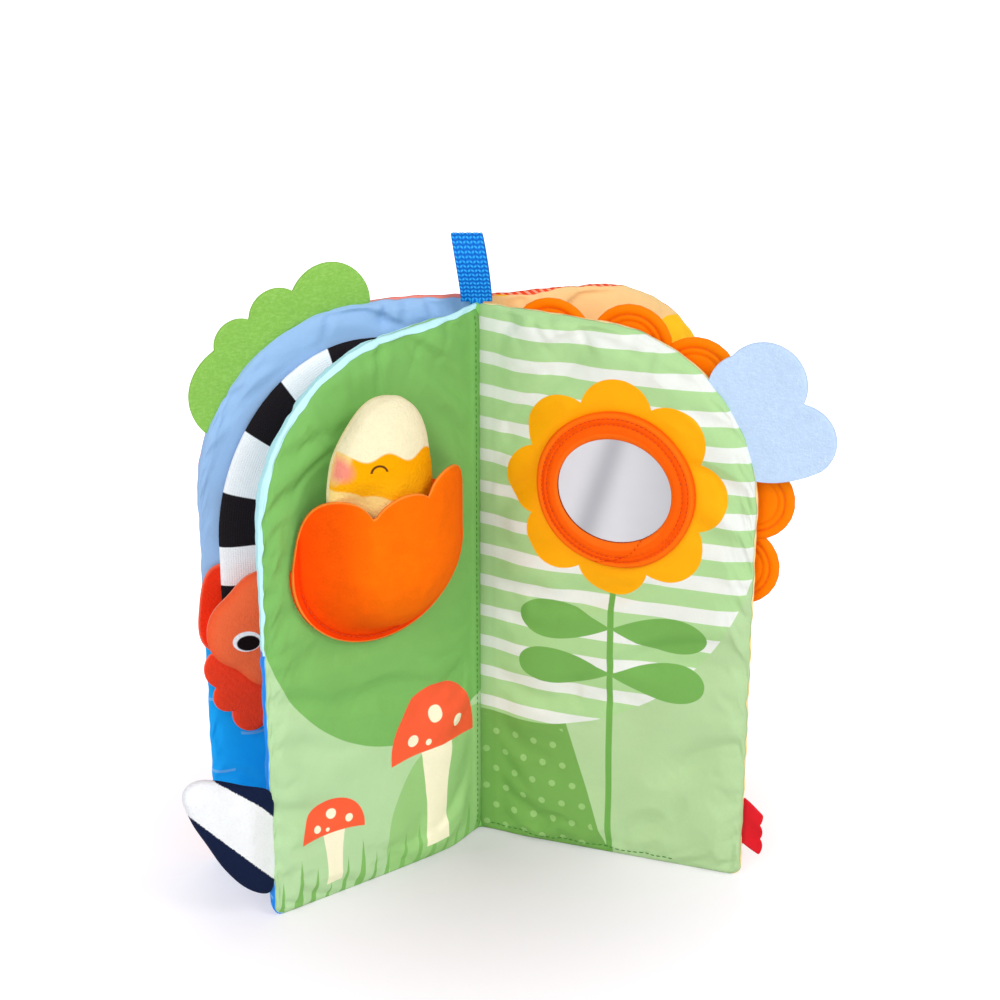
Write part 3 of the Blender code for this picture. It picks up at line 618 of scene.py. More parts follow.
def creases():
    """For each page and side, how the blown-up cloth departs from its own broad shape."""
    flat = {leaf.body: np.zeros((2, SIM_ROWS + 1, SIM_COLUMNS + 1)) for leaf in LEAVES}
    pads = {leaf.body: cloth_pad(leaf) for leaf in LEAVES}
    scene = bpy.context.scene
    for step in range(1, SIM_FRAMES + 1):
        scene.frame_set(step)
    graph = bpy.context.evaluated_depsgraph_get()
    for body, pad in pads.items():
        made = pad.evaluated_get(graph).to_mesh()
        places = np.array([vert.co for vert in made.vertices])
        before = np.array([vert.co for vert in pad.data.vertices])
        spots = pad.data.attributes["spot"].data
        numbers = np.array([spot.vector[0] for spot in spots]).round().astype(int)
        heights = np.zeros((2, (SIM_ROWS + 1) * (SIM_COLUMNS + 1)))
        for side, chosen in enumerate((before[:, 1] >= 0, before[:, 1] <= 0)):
            heights[side, numbers[chosen]] = np.abs(places[chosen, 1])
        heights = heights.reshape(2, SIM_ROWS + 1, SIM_COLUMNS + 1)
        flat[body] = np.array([skin - blurred(skin, 26) for skin in heights])
        pad.evaluated_get(graph).to_mesh_clear()
    for pad in pads.values():
        bpy.data.objects.remove(pad, do_unlink=True)
    scene.frame_set(1)
    return flat


def enlarged(heights, rows, columns):
    """A grid of heights at finer steps, by straight lines between its points."""
    old_rows, old_columns = (np.linspace(0, 1, count) for count in heights.shape)
    wide = np.array([np.interp(np.linspace(0, 1, columns + 1), old_columns, line) for line in heights])
    return np.array([np.interp(np.linspace(0, 1, rows + 1), old_rows, line) for line in wide.T]).T


# Deep folds of each page: way along the seam from the spine, lean, and depth
TUCKS = {
    "front_cover": ((0.0225, -0.3, 0.0026), (0.039, 0.1, 0.0036), (0.062, 0.5, 0.0022), (0.150, 0.0, 0.0010)),
    "left_page": ((0.0197, 0.5, 0.0010), (0.0294, 0.8, 0.0010), (0.054, 0.5, 0.0034), (0.069, 0.6, 0.0010),
                  (0.1006, 0.2, 0.0018), (0.160, 0.3, 0.0012), (0.205, -0.3, 0.0012)),
    "right_page": ((0.013, 0.5, 0.0006), (0.0238, 0.6, 0.0010), (0.0314, 0.4, 0.0008), (0.0414, 0.7, 0.0009),
                   (0.0774, 0.2, 0.0012), (0.1223, 0.0, 0.0010), (0.165, 0.2, 0.0009), (0.196, -0.2, 0.0010)),
    "back_cover": ((0.018, 0.3, 0.0018), (0.029, -0.2, 0.0016), (0.060, 0.3, 0.0014), (0.125, 0.0, 0.0010)),
}


CREASE_GAIN = 1.3
CREASE_LIMITS = (-0.0016, 0.0010)
PLEAT_DEPTH = 0.0013
FOOT_PLEAT_DEPTH = 0.0003
DENT_DEPTH = 0.0005
SEAM_WANDER = 0.00012
PLEAT_START = 0.0012
# Each row of pleats: period along the seam, size, reach into the page, and turn
PLEATS = ((0.0174, 0.5, 0.006, 0.0), (0.0282, 0.8, 0.010, 1.3), (0.0466, 1.0, 0.017, 2.9))


class Skin:
    """One printed fabric of a page: heights on a grid, from which pieces take their seat."""

    def __init__(self, leaf, side, crease, kept_flat=None, lap=0.0):
        self.leaf = leaf
        self.side = side
        self.hem = PLEAT_START + lap
        out, up = leaf.grid(PAGE_COLUMNS, PAGE_ROWS)
        self.out, self.up = out, up
        self.edge, way = leaf.seam(out, up)
        self.shift = leaf.seam_shift * smooth((out - 0.004) / 0.02)
        full = leaf.fullness(out, up)
        reach = np.maximum(leaf.half(out) - side * self.shift, 0.0006)
        free = smooth((out - CHANNEL_OUT) / 0.01)
        if kept_flat is not None:
            free = free * kept_flat(out, up)
        fine = blurred(enlarged(crease, PAGE_ROWS, PAGE_COLUMNS), 2)
        detail = np.clip(CREASE_GAIN * fine, *CREASE_LIMITS)
        detail = detail + self.puckers(way, out, up) + self.dents(out, up) + self.tucks(way)
        self.proud = self.shift * side + reach * full + np.maximum(detail * free, -0.6 * reach * full)
        if lap:
            self.proud -= 0.0005 * np.exp(-((self.edge - lap) / 0.0008) ** 2) * smooth(up / 0.004)
        self.proud = np.maximum(self.proud, side * self.shift)
        self.proud[:, 0] = np.minimum(self.proud[:, 0], 0.0012)

    def puckers(self, way, out, up):
        """The sewn-in pleats: narrow creases square to the seam, that fade into the page."""
        phase = 2.1 * self.side + 100 * self.leaf.width
        pleats = np.zeros(out.shape)
        for period, size, reach, turn in PLEATS:
            bend = 0.9 * np.sin(self.edge / 0.009 + turn)
            crest = np.abs(np.sin(math.pi * way / period + turn + phase + 0.25 * bend))
            near = np.exp(-self.edge / reach) * (1 - np.exp(-self.edge / self.hem))
            pleats += size * near * (0.45 - (1 - crest) ** 2.5)
        foot = np.zeros(out.shape)
        for period, turn in ((0.0096, 0.4), (0.0171, 2.0)):
            foot += np.sin(2 * math.pi * out / period + turn - phase)
        near_foot = np.exp(-up / 0.005) * (1 - np.exp(-up / 0.0012))
        return PLEAT_DEPTH * pleats + FOOT_PLEAT_DEPTH * foot * near_foot

    def tucks(self, way):
        """Single deep folds that run in from the seam, each with a puff beside it."""
        folds = np.zeros(way.shape)
        for start, lean, depth in TUCKS[self.leaf.body]:
            across = way - start - lean * self.edge
            puff = np.exp(-((np.abs(across) - 0.0045) / 0.0025) ** 2)
            groove = np.exp(-(across / 0.0017) ** 2) - 0.5 * puff
            folds -= depth * groove * np.exp(-self.edge / 0.010)
        return folds * (1 - np.exp(-self.edge / (self.hem + 0.002)))

    def dents(self, out, up):
        """Broad soft hollows, as loose stuffing leaves them."""
        phase = 1.7 * self.side + 40 * self.leaf.width
        waves = np.sin((out * 0.9 + up * 0.35) * 128 + phase) * np.sin((up - out * 0.25) * 97 + 2 * phase)
        finer = np.sin((out - up * 0.6) * 190 + 3 * phase) * np.sin((up + out * 0.5) * 71 + phase)
        return DENT_DEPTH * (waves + 0.6 * finer) * smooth(self.edge / 0.02) * smooth(up / 0.02)

    def proud_at(self, out, up):
        """The skin's height over a page place, on its own side."""
        share_out = np.interp(out, self.out[-1], np.arange(self.out.shape[1]))
        column = np.clip(share_out.astype(int), 0, self.out.shape[1] - 2)
        lean = share_out - column
        ups = self.up / np.maximum(self.leaf.top(self.out), 1e-9)
        level = np.asarray(up) / self.leaf.top(np.asarray(out))
        row_share = np.interp(level, ups[:, 0], np.arange(self.up.shape[0]))
        row = np.clip(row_share.astype(int), 0, self.up.shape[0] - 2)
        rise = row_share - row
        low = self.proud[row, column] * (1 - lean) + self.proud[row, column + 1] * lean
        high = self.proud[row + 1, column] * (1 - lean) + self.proud[row + 1, column + 1] * lean
        return low * (1 - rise) + high * rise

    def on(self, out, up, lift=0.0):
        out, up = np.asarray(out, float), np.asarray(up, float)
        return self.leaf.place(out, up, self.side * (self.proud_at(out, up) + lift))

    def mesh(self, name):
        """The skin with the page's middle behind it, so that each half is closed."""
        _, way = self.leaf.seam(self.out, self.up)
        across, above = self.leaf.off_seam(self.out, self.up)
        wander = np.sin(way * 410 + self.leaf.width * 90)
        wander += 0.7 * np.sin(way * 730 + 1) + np.sin(way * 190 + 2)
        wander = SEAM_WANDER * wander * np.exp(-self.edge / 0.004) * smooth(self.up / 0.01)
        wander = wander * smooth(self.out / 0.01)
        out, up = self.out + wander * across, self.up + wander * above
        front = self.leaf.place(out, up, self.side * self.proud)
        rim = rim_of(out.shape)
        front[rim] = self.leaf.place(out, up, self.shift)[rim]
        numbers = np.arange(out.size).reshape(out.shape)
        faces = quads(numbers)
        last = numbers.shape[1] - 2
        for column in range(last + 1):
            right = list(numbers[1:-1, -1]) if column == last else []
            left = list(numbers[-2:0:-1, 0]) if column == 0 else []
            strip = [*numbers[0, column:column + 2], *right, *numbers[-1, column:column + 2][::-1], *left]
            faces.append([int(number) for number in strip][::-1])
        page = triple(self.out, self.up, self.edge) / MM
        return new_mesh(name, front.reshape(-1, 3), faces, {"page": page})


# Prints


MEADOW_LAP = 0.0023


def page_finish(name, colour):
    finish = Finish(name, colour, roughness=0.6, sheen=0.04, specular=0.12)
    return finish, *finish.field("page")


def seam_band(finish, edge, along, colour, width):
    """The other side's fabric, rolled a little over the seam, and painted shade along the seam's crease."""
    border = edge + (along.sine(23.0) + along.sine(9.1, 2.0)) * 0.12 - width
    # Painted shade: a dark line along the seam's crease
    finish.paint((70, 110, 60), border.size() - 0.16, 0.25, 0.45)
    finish.paint(colour, border, 0.15)


STRIPE_START = 114.7
STRIPE_PITCH = 14.0
SKY_DISC = ((19.0, 160.5), 102.0)
PATCH_OUT = 42.0
PATCH_TOP = 61.0
DOT_PITCH = 9.0
STEM_OUT = 61.2
STEM_HALF = 1.35
STEM_TOP = 130.0
LEAF_ROOT = 60.8
LEAF_LEVEL = 97.4
LEAF_GAP = 10.5
LEAF_LENGTH = 40.5
LEAF_SWELL = 21.3
FLOWER_SPOT = (61.0, 169.4)
FLOWER_PETALS = 8
FLOWER_RING = 31.6
FLOWER_PETAL = 15.0


def flower_print():
    """Stripes over meadow, and a tall plain flower round the mirror."""
    finish, out, up, edge = page_finish("striped_print", (174, 213, 150))
    drawn_up = (out * -0.11).exponent() * 2.5
    stripes = up - STRIPE_START - out * 0.014 - drawn_up
    finish.paint((232, 236, 230), 0.40 - out * 0.0027 - stripes.sine(STRIPE_PITCH), 0.06)
    below_sky = circle(out, up, *SKY_DISC) * -1
    finish.paint((180, 211, 158), below_sky)
    patch = (out - PATCH_OUT - (PATCH_TOP - up) * 0.31).most(below_sky)
    finish.paint((119, 170, 84), patch)
    spots = dots(out, up, DOT_PITCH, DOT_PITCH, DOT_PITCH / 2, 1.5)
    finish.paint((152, 195, 118), spots.most(patch + 2.4))
    stem = (out - STEM_OUT + up * 0.004).size() - STEM_HALF
    finish.paint((112, 170, 80), stem.most(up - STEM_TOP))
    from_stem = (out - LEAF_ROOT).size()
    share = (from_stem / LEAF_LENGTH).held()
    half = share * (1.0 - share).root() * LEAF_SWELL
    leaves = ((up - LEAF_LEVEL).size() - LEAF_GAP).size() - half
    finish.paint((117, 174, 86), leaves.most(from_stem - LEAF_LENGTH))
    across, above = out - FLOWER_SPOT[0], up - FLOWER_SPOT[1]
    reach = far(across, above)
    turn = above.do("ARCTAN2", across)
    sector = 2 * math.pi / FLOWER_PETALS
    fold = turn - (turn / sector).do("ROUND") * sector
    petals = far(reach * fold.do("COSINE") - FLOWER_RING, reach * fold.do("SINE")) - FLOWER_PETAL
    finish.paint((252, 174, 2), petals.least(reach - 34.0))
    # Painted shade: darker green towards the spine, where the gutter lies in shadow
    finish.paint((70, 120, 48), out - 5.5, 8.0, 0.4)
    seam_band(finish, edge, up + out, (255, 226, 160), 0.3)
    return woven(finish, out, up)


TOADSTOOL_SPOTS = ((-0.5, 0.17, 0.12), (0.02, 0.33, 0.15), (0.52, 0.14, 0.11), (0.2, 0.08, 0.06))


def toadstool(finish, out, up, foot, height, half_width):
    """A plain toadstool on the print: a cream stalk under a spotted domed cap."""
    across, above = out - foot[0], up - foot[1]
    stalk = across.size() - half_width * 0.24 - (above / height - 0.3).power(2.0) * (half_width * 0.22)
    finish.paint((252, 244, 214), stalk.most(above * -1).most(above - height))
    dome = far(across / half_width, (above - height) / (height * 0.62)) * half_width - half_width
    brim = (above - height + (across / half_width).power(2.0) * 2.0) * -1
    cap = dome.most(brim)
    finish.paint((252, 96, 58), cap)
    spots = None
    for share_out, share_up, size in TOADSTOOL_SPOTS:
        spot = circle(across, above, (share_out * half_width, height * (1 + share_up)), size * half_width)
        spots = spot if spots is None else spots.least(spot)
    finish.paint((252, 244, 214), spots.most(cap + 0.6))


HILL = ((37.0, 136.0), 76.0)
MOUND = ((10.0, 16.0), 47.0)
BLADE_PITCH = 7.5
GRASS_HEIGHT = 17.0


def meadow_print():
    """A dark round hill over a pale meadow, with toadstools and blades of grass."""
    finish, out, up, edge = page_finish("meadow_print", (124, 184, 97))
    below = (circle(out, up, *HILL) * -1).most(up - HILL[0][1])
    finish.paint((183, 217, 165), below)
    finish.paint((156, 202, 128), circle(out, up, *MOUND).most(below + 0.2))
    blades = (out + (up * 0.11).sine(7.0) * 1.2).cell(BLADE_PITCH)
    tips = up - GRASS_HEIGHT - out.sine(31.0) * 5.0 - out.sine(11.0) * 3.0
    grass = (blades.size() - (0.0 - tips) * 0.09).most(tips)
    finish.paint((131, 186, 100), grass)
    toadstool(finish, out, up, (31.0, 8.0), 46.0, 24.0)
    toadstool(finish, out, up, (84.0, 8.0), 24.0, 15.0)
    # Painted shade: darker green towards the spine, where the gutter lies in shadow
    finish.paint((50, 104, 24), out - 3.5, 5.0, 0.45)
    rise = ((up - 110.0) / 100.0).held()
    lap = rise * (MEADOW_LAP / MM - 0.5) + 0.5
    seam_band(finish, edge, up + out, (196, 242, 250), lap)
    finish.paint((24, 138, 244), (edge - lap).most(up - 118.0), 0.2)
    return woven(finish, out, up)


RIPPLE_RISE = 17.0
RIPPLE_PITCH = 31.0
RIPPLE_SHIFT = 13.0


def water_print(name, sky, water, level, band):
    """Plain sky above plain water, with a few short ripples."""
    finish, out, up, edge = page_finish(name, sky)
    surface = up - level - out.sine(46.0) * 1.6
    finish.paint(water, surface)
    dash_out = (out + (up / RIPPLE_RISE).floor() * RIPPLE_SHIFT).cell(RIPPLE_PITCH)
    dash_up = up.cell(RIPPLE_RISE) - dash_out * dash_out * 0.03
    dash = (dash_up.size() - 0.7).most(dash_out.size() - 5.0).most(surface + 4.0)
    finish.paint((110, 185, 250), dash)
    seam_band(finish, edge, up + out, band, 1.5 - out * 0.024)
    return woven(finish, out, up)


def peach_print():
    finish, out, up, edge = page_finish("peach_print", (246, 208, 144))
    finish.paint((255, 200, 30), dots(out + 43.0, up - 9.0, 54.0, 44.0, 27.0, 12.5))
    lap = edge - 1.5 + out * 0.019 + out.sine(34.0) * 0.5
    finish.paint((236, 72, 36), lap, 0.15)
    finish.paint((255, 196, 160), lap.most((out + up).sine(3.4) + 0.2), 0.3, 0.6)
    return woven(finish, out, up)


def gingham_print():
    finish, out, up, _ = page_finish("gingham_print", (252, 196, 170))
    for line in (out, up):
        finish.paint((240, 92, 58), line.sine(7.0), 0.12, 0.62)
    return woven(finish, out, up)


def dotted_print(name, ground, dot, pitch, size):
    finish, out, up, _ = page_finish(name, ground)
    finish.paint(dot, dots(out, up, pitch, pitch, pitch / 2, size))
    return woven(finish, out, up)


def keep_clear(places):
    """Where sewn-on pieces lie, the skin stays at its full height."""
    def share(out, up):
        free = np.ones(np.shape(out))
        for (centre_out, centre_up), wide, high in places:
            away = np.hypot((out - centre_out) / wide, (up - centre_up) / high)
            free = free * smooth((away - 0.92) / 0.25)
        return free
    return share


def arch_clear(out, up):
    """The strip under the striped arch and the fish."""
    edge, _ = FRONT_COVER.seam(out, up)
    middle = 0.019 + 0.007 * smooth((up - 0.17) / 0.05)
    band = smooth((np.abs(edge - middle) - 0.013) / 0.006)
    return np.maximum(band, smooth((0.060 - up) / 0.02)) * keep_clear([(FISH_SPOT, 0.028, 0.050)])(out, up)


def make_pages():
    """The four pages, each as the two printed halves of a pad."""
    crease = creases()
    mirror_clear = keep_clear([(MIRROR_SPOT, RING_RADIUS, RING_RADIUS)])
    pocket_clear = keep_clear([((POCKET_SPOT[0], POCKET_SPOT[1] + 0.004), POCKET_HALF_WIDTH, 0.040)])
    coral = dotted_print("coral_print", (240, 104, 92), (246, 128, 112), 16.0, 2.6)
    sky = water_print("sky_print", (156, 192, 235), (16, 172, 255), 118.0, (244, 136, 124))
    lake = water_print("lake_print", (187, 240, 248), (10, 142, 244), 119.0, (131, 192, 102))
    apricot = dotted_print("apricot_print", (255, 214, 140), (255, 196, 100), 13.0, 2.2)
    halves = (
        (FRONT_COVER, 1, "inside", sky, "sky_blue_fabric", arch_clear, "inner_fabric batting"),
        (FRONT_COVER, -1, "outside", coral, "coral_fabric", None, "outer_fabric"),
        (LEFT_PAGE, 1, "front", meadow_print(), "leaf_green_fabric", pocket_clear,
         "front_fabric batting_left crinkle_film"),
        (LEFT_PAGE, -1, "back", lake, "pale_cyan_fabric", None, "back_fabric batting_right"),
        (RIGHT_PAGE, -1, "front", flower_print(), "striped_green_fabric", mirror_clear,
         "front_fabric batting"),
        (RIGHT_PAGE, 1, "back", apricot, "apricot_fabric", None, "back_fabric"),
        (BACK_COVER, -1, "inside", peach_print(), "peach_fabric", None,
         "inner_fabric batting_right crinkle_film"),
        (BACK_COVER, 1, "outside", gingham_print(), "red_gingham_fabric", None, "outer_fabric batting_left"),
    )
    skins = {}
    for leaf, side, half, material, slot, clear, layers in halves:
        name = f"{leaf.body}_{half}"
        lap = MEADOW_LAP if name == "left_page_front" else 0.0
        skins[name] = Skin(leaf, side, crease[leaf.body][0 if side > 0 else 1], clear, lap)
        replaced = [f"{leaf.body}_{layer}" for layer in layers.split()]
        add_piece(name, skins[name].mesh(name), material, leaf.body, replaced)
    return skins


SPINE_STITCH_OUT = 0.0042


def sew_pages(skins):
    """Topstitching in the crease at the spine, and along a foot."""
    green = thread("green_thread", (64, 128, 44))
    blue = thread("blue_thread", (40, 110, 190))
    rust = thread("rust_thread", (214, 92, 40))
    up = np.linspace(0.004, PAGE_HEIGHT - 0.004, 90)
    for name, material in (("left_page_front", green), ("front_cover_inside", blue),
                           ("back_cover_inside", rust), ("front_cover_outside", rust),
                           ("back_cover_outside", rust), ("left_page_back", blue), ("right_page_back", rust)):
        skin = skins[name]
        path = skin.on(np.full(up.shape, SPINE_STITCH_OUT), up)
        stitched(name + "_spine_stitches", path, skin.leaf.facing(skin.side), material, skin.leaf.body,
                 pitch=0.0026, length=0.0017, radius=0.00018)
    foot = skins["right_page_front"]
    out = np.linspace(0.006, 0.090, 60)
    path = foot.on(out, 0.0036 + 0.0003 * np.sin(out * 160))
    stitched("right_page_foot_stitches", path, foot.leaf.facing(-1), green, "right_page", pitch=0.0026)


def make_spine():
    """The bound roll that the pages are sewn to."""
    finish = Finish("binding_cloth", (120, 184, 92), roughness=0.75, sheen=0.2)
    finish.mottled(0.004, 3.0, 0.08)
    finish.grained(0.0006, 2.0, 0.0001, stretch=(1, 1, 3))
    heights = np.concatenate([[0.0, 0.0004], np.linspace(0.002, PAGE_HEIGHT - 0.002, 60), [PAGE_HEIGHT]])
    loops = []
    for height in heights:
        ripple = 0.00008 * math.sin(height * 900) + 0.00006 * math.sin(height * 2100)
        tuck = 0.5 + 0.5 * float(roll(min(height, PAGE_HEIGHT - height) / 0.003))
        radius = (SPINE_RADIUS - 0.0001 + ripple) * tuck
        loop = []
        for centre, first in ((SPINE_DEPTH, 0), (0.0, 180)):
            for step in range(13):
                angle = math.radians(first + 15 * step)
                loop.append((radius * math.cos(angle), centre + radius * math.sin(angle), height))
        loops.append(loop)
    add_piece("spine_roll", closed_loops("spine_roll", np.array(loops)), finish.done(), "spine",
              ("spine_binding",))


# Carry loop

LOOP_WIDTH = 0.0126
LOOP_WEBBING = 0.0012
LOOP_FOOT = 0.0006
LOOP_LEG = 0.017
LOOP_BELLY = 0.0048
LOOP_CROWN = 0.010
LOOP_LEAN = 0.0038
LOOP_LEG_SHARE = 0.36
LOOP_THREAD_WIDTH = 0.0014
LOOP_THREAD_PITCH = 0.0019
LOOP_THREAD_RISE = 0.00022


def loop_path(share):
    """Place and direction on the loop's middle line, from one root over to the other."""
    root = (LOOP_WEBBING + CLEARANCE) / 2
    if LOOP_LEG_SHARE <= share <= 1 - LOOP_LEG_SHARE:
        turn = math.pi * (share - LOOP_LEG_SHARE) / (1 - 2 * LOOP_LEG_SHARE)
        spot = (-LOOP_BELLY * math.cos(turn), LOOP_LEG + LOOP_CROWN * math.sin(turn))
        return np.array(spot), np.array((LOOP_BELLY * math.sin(turn), LOOP_CROWN * math.cos(turn)))
    side = -1 if share < LOOP_LEG_SHARE else 1
    climb = (share if side < 0 else 1 - share) / LOOP_LEG_SHARE
    swell = math.sin(climb * math.pi / 2)
    spot = (side * (root + (LOOP_BELLY - root) * swell), LOOP_LEG * climb)
    widen = (LOOP_BELLY - root) * math.cos(climb * math.pi / 2) * math.pi / 2
    return np.array(spot), np.array((widen, -side * LOOP_LEG))


def make_loop():
    """Woven webbing, with its rows of slanting threads, folded over into the spine."""
    finish = Finish("blue_webbing_cloth", (0, 122, 222), roughness=0.6, sheen=0.1, specular=0.15)
    _, _, height = finish.field("weave")
    # Painted highlight on the raised threads of the weave, and painted shade in the hollows between them
    finish.glaze((60, 184, 255), (height - 0.5).held(2.4))
    finish.glaze((0, 78, 170), (0.32 - height).held(2.5))
    finish.grained(0.0004, 2.0, 0.00008)
    columns, rows = 48, 300
    shares = np.linspace(0.0, 1.0, rows + 1)
    sides = np.linspace(-0.5, 0.5, columns + 1)
    reach = LOOP_LEG + LOOP_CROWN
    line = [loop_path(share) for share in shares]
    way = way_along(np.array([spot for spot, _ in line]))
    cell = sides * LOOP_WIDTH / LOOP_THREAD_WIDTH + 0.5
    slant = np.where(np.floor(cell) % 2 == 0, 1.0, -1.0)
    inner = cell - np.floor(cell) - 0.5
    ridge = 0.5 + 0.5 * np.sin(2 * math.pi * way[:, None] / LOOP_THREAD_PITCH + slant * inner * 2.6)
    weave = ridge * (1 - (2 * np.abs(inner)) ** 3)
    edge = roll((0.5 - np.abs(sides)) * LOOP_WIDTH / 0.0007)
    thick = (LOOP_WEBBING / 2 - 0.00018) * (0.35 + 0.65 * edge) + LOOP_THREAD_RISE * weave * edge
    sunk = np.where(np.abs(sides) * LOOP_WIDTH < SPINE_RADIUS, 0.003, LOOP_FOOT)
    grids = []
    for offset in (-1, 1):
        grid = np.zeros((*weave.shape, 3))
        for row, (spot, along) in enumerate(line):
            outward = np.array((-along[1], along[0])) / np.linalg.norm(along)
            places = spot + offset * thick[row, :, None] * outward
            lean = -LOOP_LEAN * (max(spot[1], 0.0) / reach) ** 1.3
            foot = PAGE_HEIGHT + CLEARANCE + LOOP_FOOT
            grid[row] = triple(sides * LOOP_WIDTH + lean, places[:, 0], foot + places[:, 1])
        grid[[0, -1], :, 2] -= sunk
        grids.append(grid)
    mesh = closed_grid("carry_loop_webbing", *grids, weave=triple(sides, way[:, None], weave))
    foot = PAGE_HEIGHT + CLEARANCE
    add_piece("carry_loop_webbing", mesh, finish.done(), ("spine", "loop"), ("carry_loop",),
              across=((0, 0, foot - 0.001), (0, 0, foot + 0.004)))


# Mirror, ring and petals on the right page


def disc_places(leaf, centre, side, radius, angle, height):
    """World places of (radius, angle, height) over a spot on a page."""
    out = centre[0] + radius * np.cos(angle)
    up = centre[1] + radius * np.sin(angle)
    return leaf.place(out, up, side * height)


SIGHT_FLATTENING = 0.0018
FOIL_LIFT = 0.0017
FOIL_EDGE_LIFT = 0.0012


def over_mirror(radius, angle, height):
    """World places over the mirror's spot, from where its pieces rest on the page."""
    return disc_places(RIGHT_PAGE, MIRROR_SPOT, -1, radius, angle, PAGE_FACE + CLEARANCE + height)


def make_foil():
    """The slightly bowed and rippled mirror film, with its thin edge turned under."""
    finish = Finish("mirror_foil", (186, 187, 189), roughness=0.22, specular=0.5, metallic=1.0)
    out, up, _ = finish.field("page")
    # Painted reflection: a dark diagonal streak, and greyer towards the top and the outer side
    reflection_streak = out - up * 0.31 + 6.5
    finish.glaze((150, 151, 154), (reflection_streak * reflection_streak * -0.03).exponent() * 0.9)
    finish.glaze((176, 177, 180), ((out + up * 0.9 - 22.0) * -0.06).held(-1.0))
    finish.glaze((164, 165, 168), ((out - 2.0) * 0.05).held(0.9))
    finish.grained(0.014, 2.0, 0.0004)
    angle = full_turn(ROUND_STEPS)
    radii = np.linspace(0.0004, MIRROR_SIGHT_RADIUS + 0.0020, 30)
    spread = np.concatenate([radii, radii[::-1][:2], radii[:1]])[:, None]
    across, above = spread * np.cos(angle), spread * np.sin(angle)
    bow = FOIL_LIFT + 0.00015 * np.sin(across * 120 + 1) * np.cos(above * 90)
    bow[len(radii):] = FOIL_EDGE_LIFT
    mesh = closed_loops("mirror_foil", over_mirror(spread, angle, bow), page=triple(across, above, 0.0) / MM)
    add_piece("mirror_foil", mesh, finish.done(), "right_page", ("mirror_film", "mirror_pad"))


RING_PROFILE = (
    (33.1, 0.0), (33.3, 0.7), (33.2, 1.6), (32.8, 2.3), (32.2, 2.7), (31.5, 2.8), (30.9, 2.5), (30.6, 2.2),
    (30.3, 2.5), (29.7, 3.0), (29.2, 3.1), (28.7, 2.9), (28.4, 2.6), (28.1, 2.9), (27.4, 3.4), (26.6, 3.6),
    (25.8, 3.6), (25.0, 3.3), (24.3, 2.8), (23.9, 2.3), (24.0, 1.9), (25.4, 1.75), (25.9, 1.6), (26.0, 0.0),
)
RING_STEPS = 260
RING_STITCHES = ((30.6, 2.25), (28.4, 2.65))


def make_ring():
    """The bias tape round the mirror, puckered along its stitches, its ends lapped below."""
    turn = full_turn(RING_STEPS)[:, None]
    radius, height = np.transpose(RING_PROFILE)[:, None] * MM * np.ones((RING_STEPS, 1))
    puckers = np.sin(47 * turn + 0.6) * 0.6 + np.sin(71 * turn + 2) * 0.4 + np.sin(19 * turn) * 0.5
    high = smooth((height - 1.8 * MM) / (1.2 * MM))
    height = height + 0.00016 * puckers * high * np.exp(-((radius - 29.5 * MM) / (2.4 * MM)) ** 2)
    radius = radius + 0.00018 * np.sin(5 * turn + 1) * smooth((radius - 27 * MM) / (6 * MM))
    lap = (turn - np.radians(-80 - 5.5 * (radius / MM - 28)) + math.pi) % (2 * math.pi) - math.pi
    step_up = smooth(lap / 0.02) * (1 - smooth((lap - 0.25) / 0.9))
    height = height + (0.0005 * step_up - 0.0005 * np.exp(-(lap / 0.035) ** 2)) * high
    radius = radius - SIGHT_FLATTENING * smooth((27 - radius / MM) / 3.2) * np.sin(turn) ** 2
    section = triple(radius / MM, np.minimum(np.abs(np.degrees(lap)), 20.0), height / MM)
    weave = triple(radius * np.cos(turn), radius * np.sin(turn), height) / MM
    tape = Finish("bias_tape_cloth", (255, 98, 4), roughness=0.75, sheen=0.3, specular=0.08)
    from_centre, beside_lap, _ = tape.field("section")
    across, above, _ = tape.field("page")
    tape.paint((255, 118, 14), (from_centre - 31.9).size() - 1.0, 0.8, 0.8)
    tape.paint((255, 112, 20), from_centre - 25.0, 0.8, 0.8)
    tape.paint((238, 72, 0), (from_centre - 29.5).size() - 0.5, 1.2, 0.7)
    tape.mottled(0.003, 3.0, 0.07)
    # Painted shade: a dark line at the step where the tape's ends lap
    tape.paint((196, 44, 0), beside_lap - 1.1, 1.2, 0.7)
    tape.raise_by((across + above).sine(1.0) * (across - above).sine(1.0) * 0.5 + 0.5, 0.0001)
    tape.grained(0.0006, 3.0, 0.00012)
    loops = over_mirror(radius, turn, height)
    mesh = closed_loops("mirror_ring_tape", loops, ring=True, section=section, page=weave)
    add_piece("mirror_ring_tape", mesh, tape.done(), "right_page", ("mirror_ring",))
    dark = thread("ring_thread", (206, 58, 0))
    for index, (radius, height) in enumerate(RING_STITCHES):
        path = over_mirror(radius * MM, full_turn(RING_STEPS), height * MM)
        stitched(f"mirror_ring_stitches_{index + 1}", path, RIGHT_PAGE.facing(-1), dark, "right_page",
                 pitch=0.0020, length=0.0013, radius=0.00016, ring=True)


PETAL_PROFILE = (
    (0.4, 1.30), (4.0, 1.34), (8.0, 1.38), (9.8, 1.30), (10.4, 0.92), (11.0, 1.32), (11.8, 1.46),
    (12.5, 1.30), (13.1, 0.78), (13.7, 1.24), (14.6, 1.46), (15.6, 1.38), (16.4, 1.10), (16.85, 0.70),
    (17.0, 0.0),
)
PETAL_SEWN_RINGS = (13.1, 10.4)
PETAL_LIFT = 0.0015
PETAL_LAYERS = (-0.0002, 0.0004)
PETAL_STITCH_LIFT = 0.00078


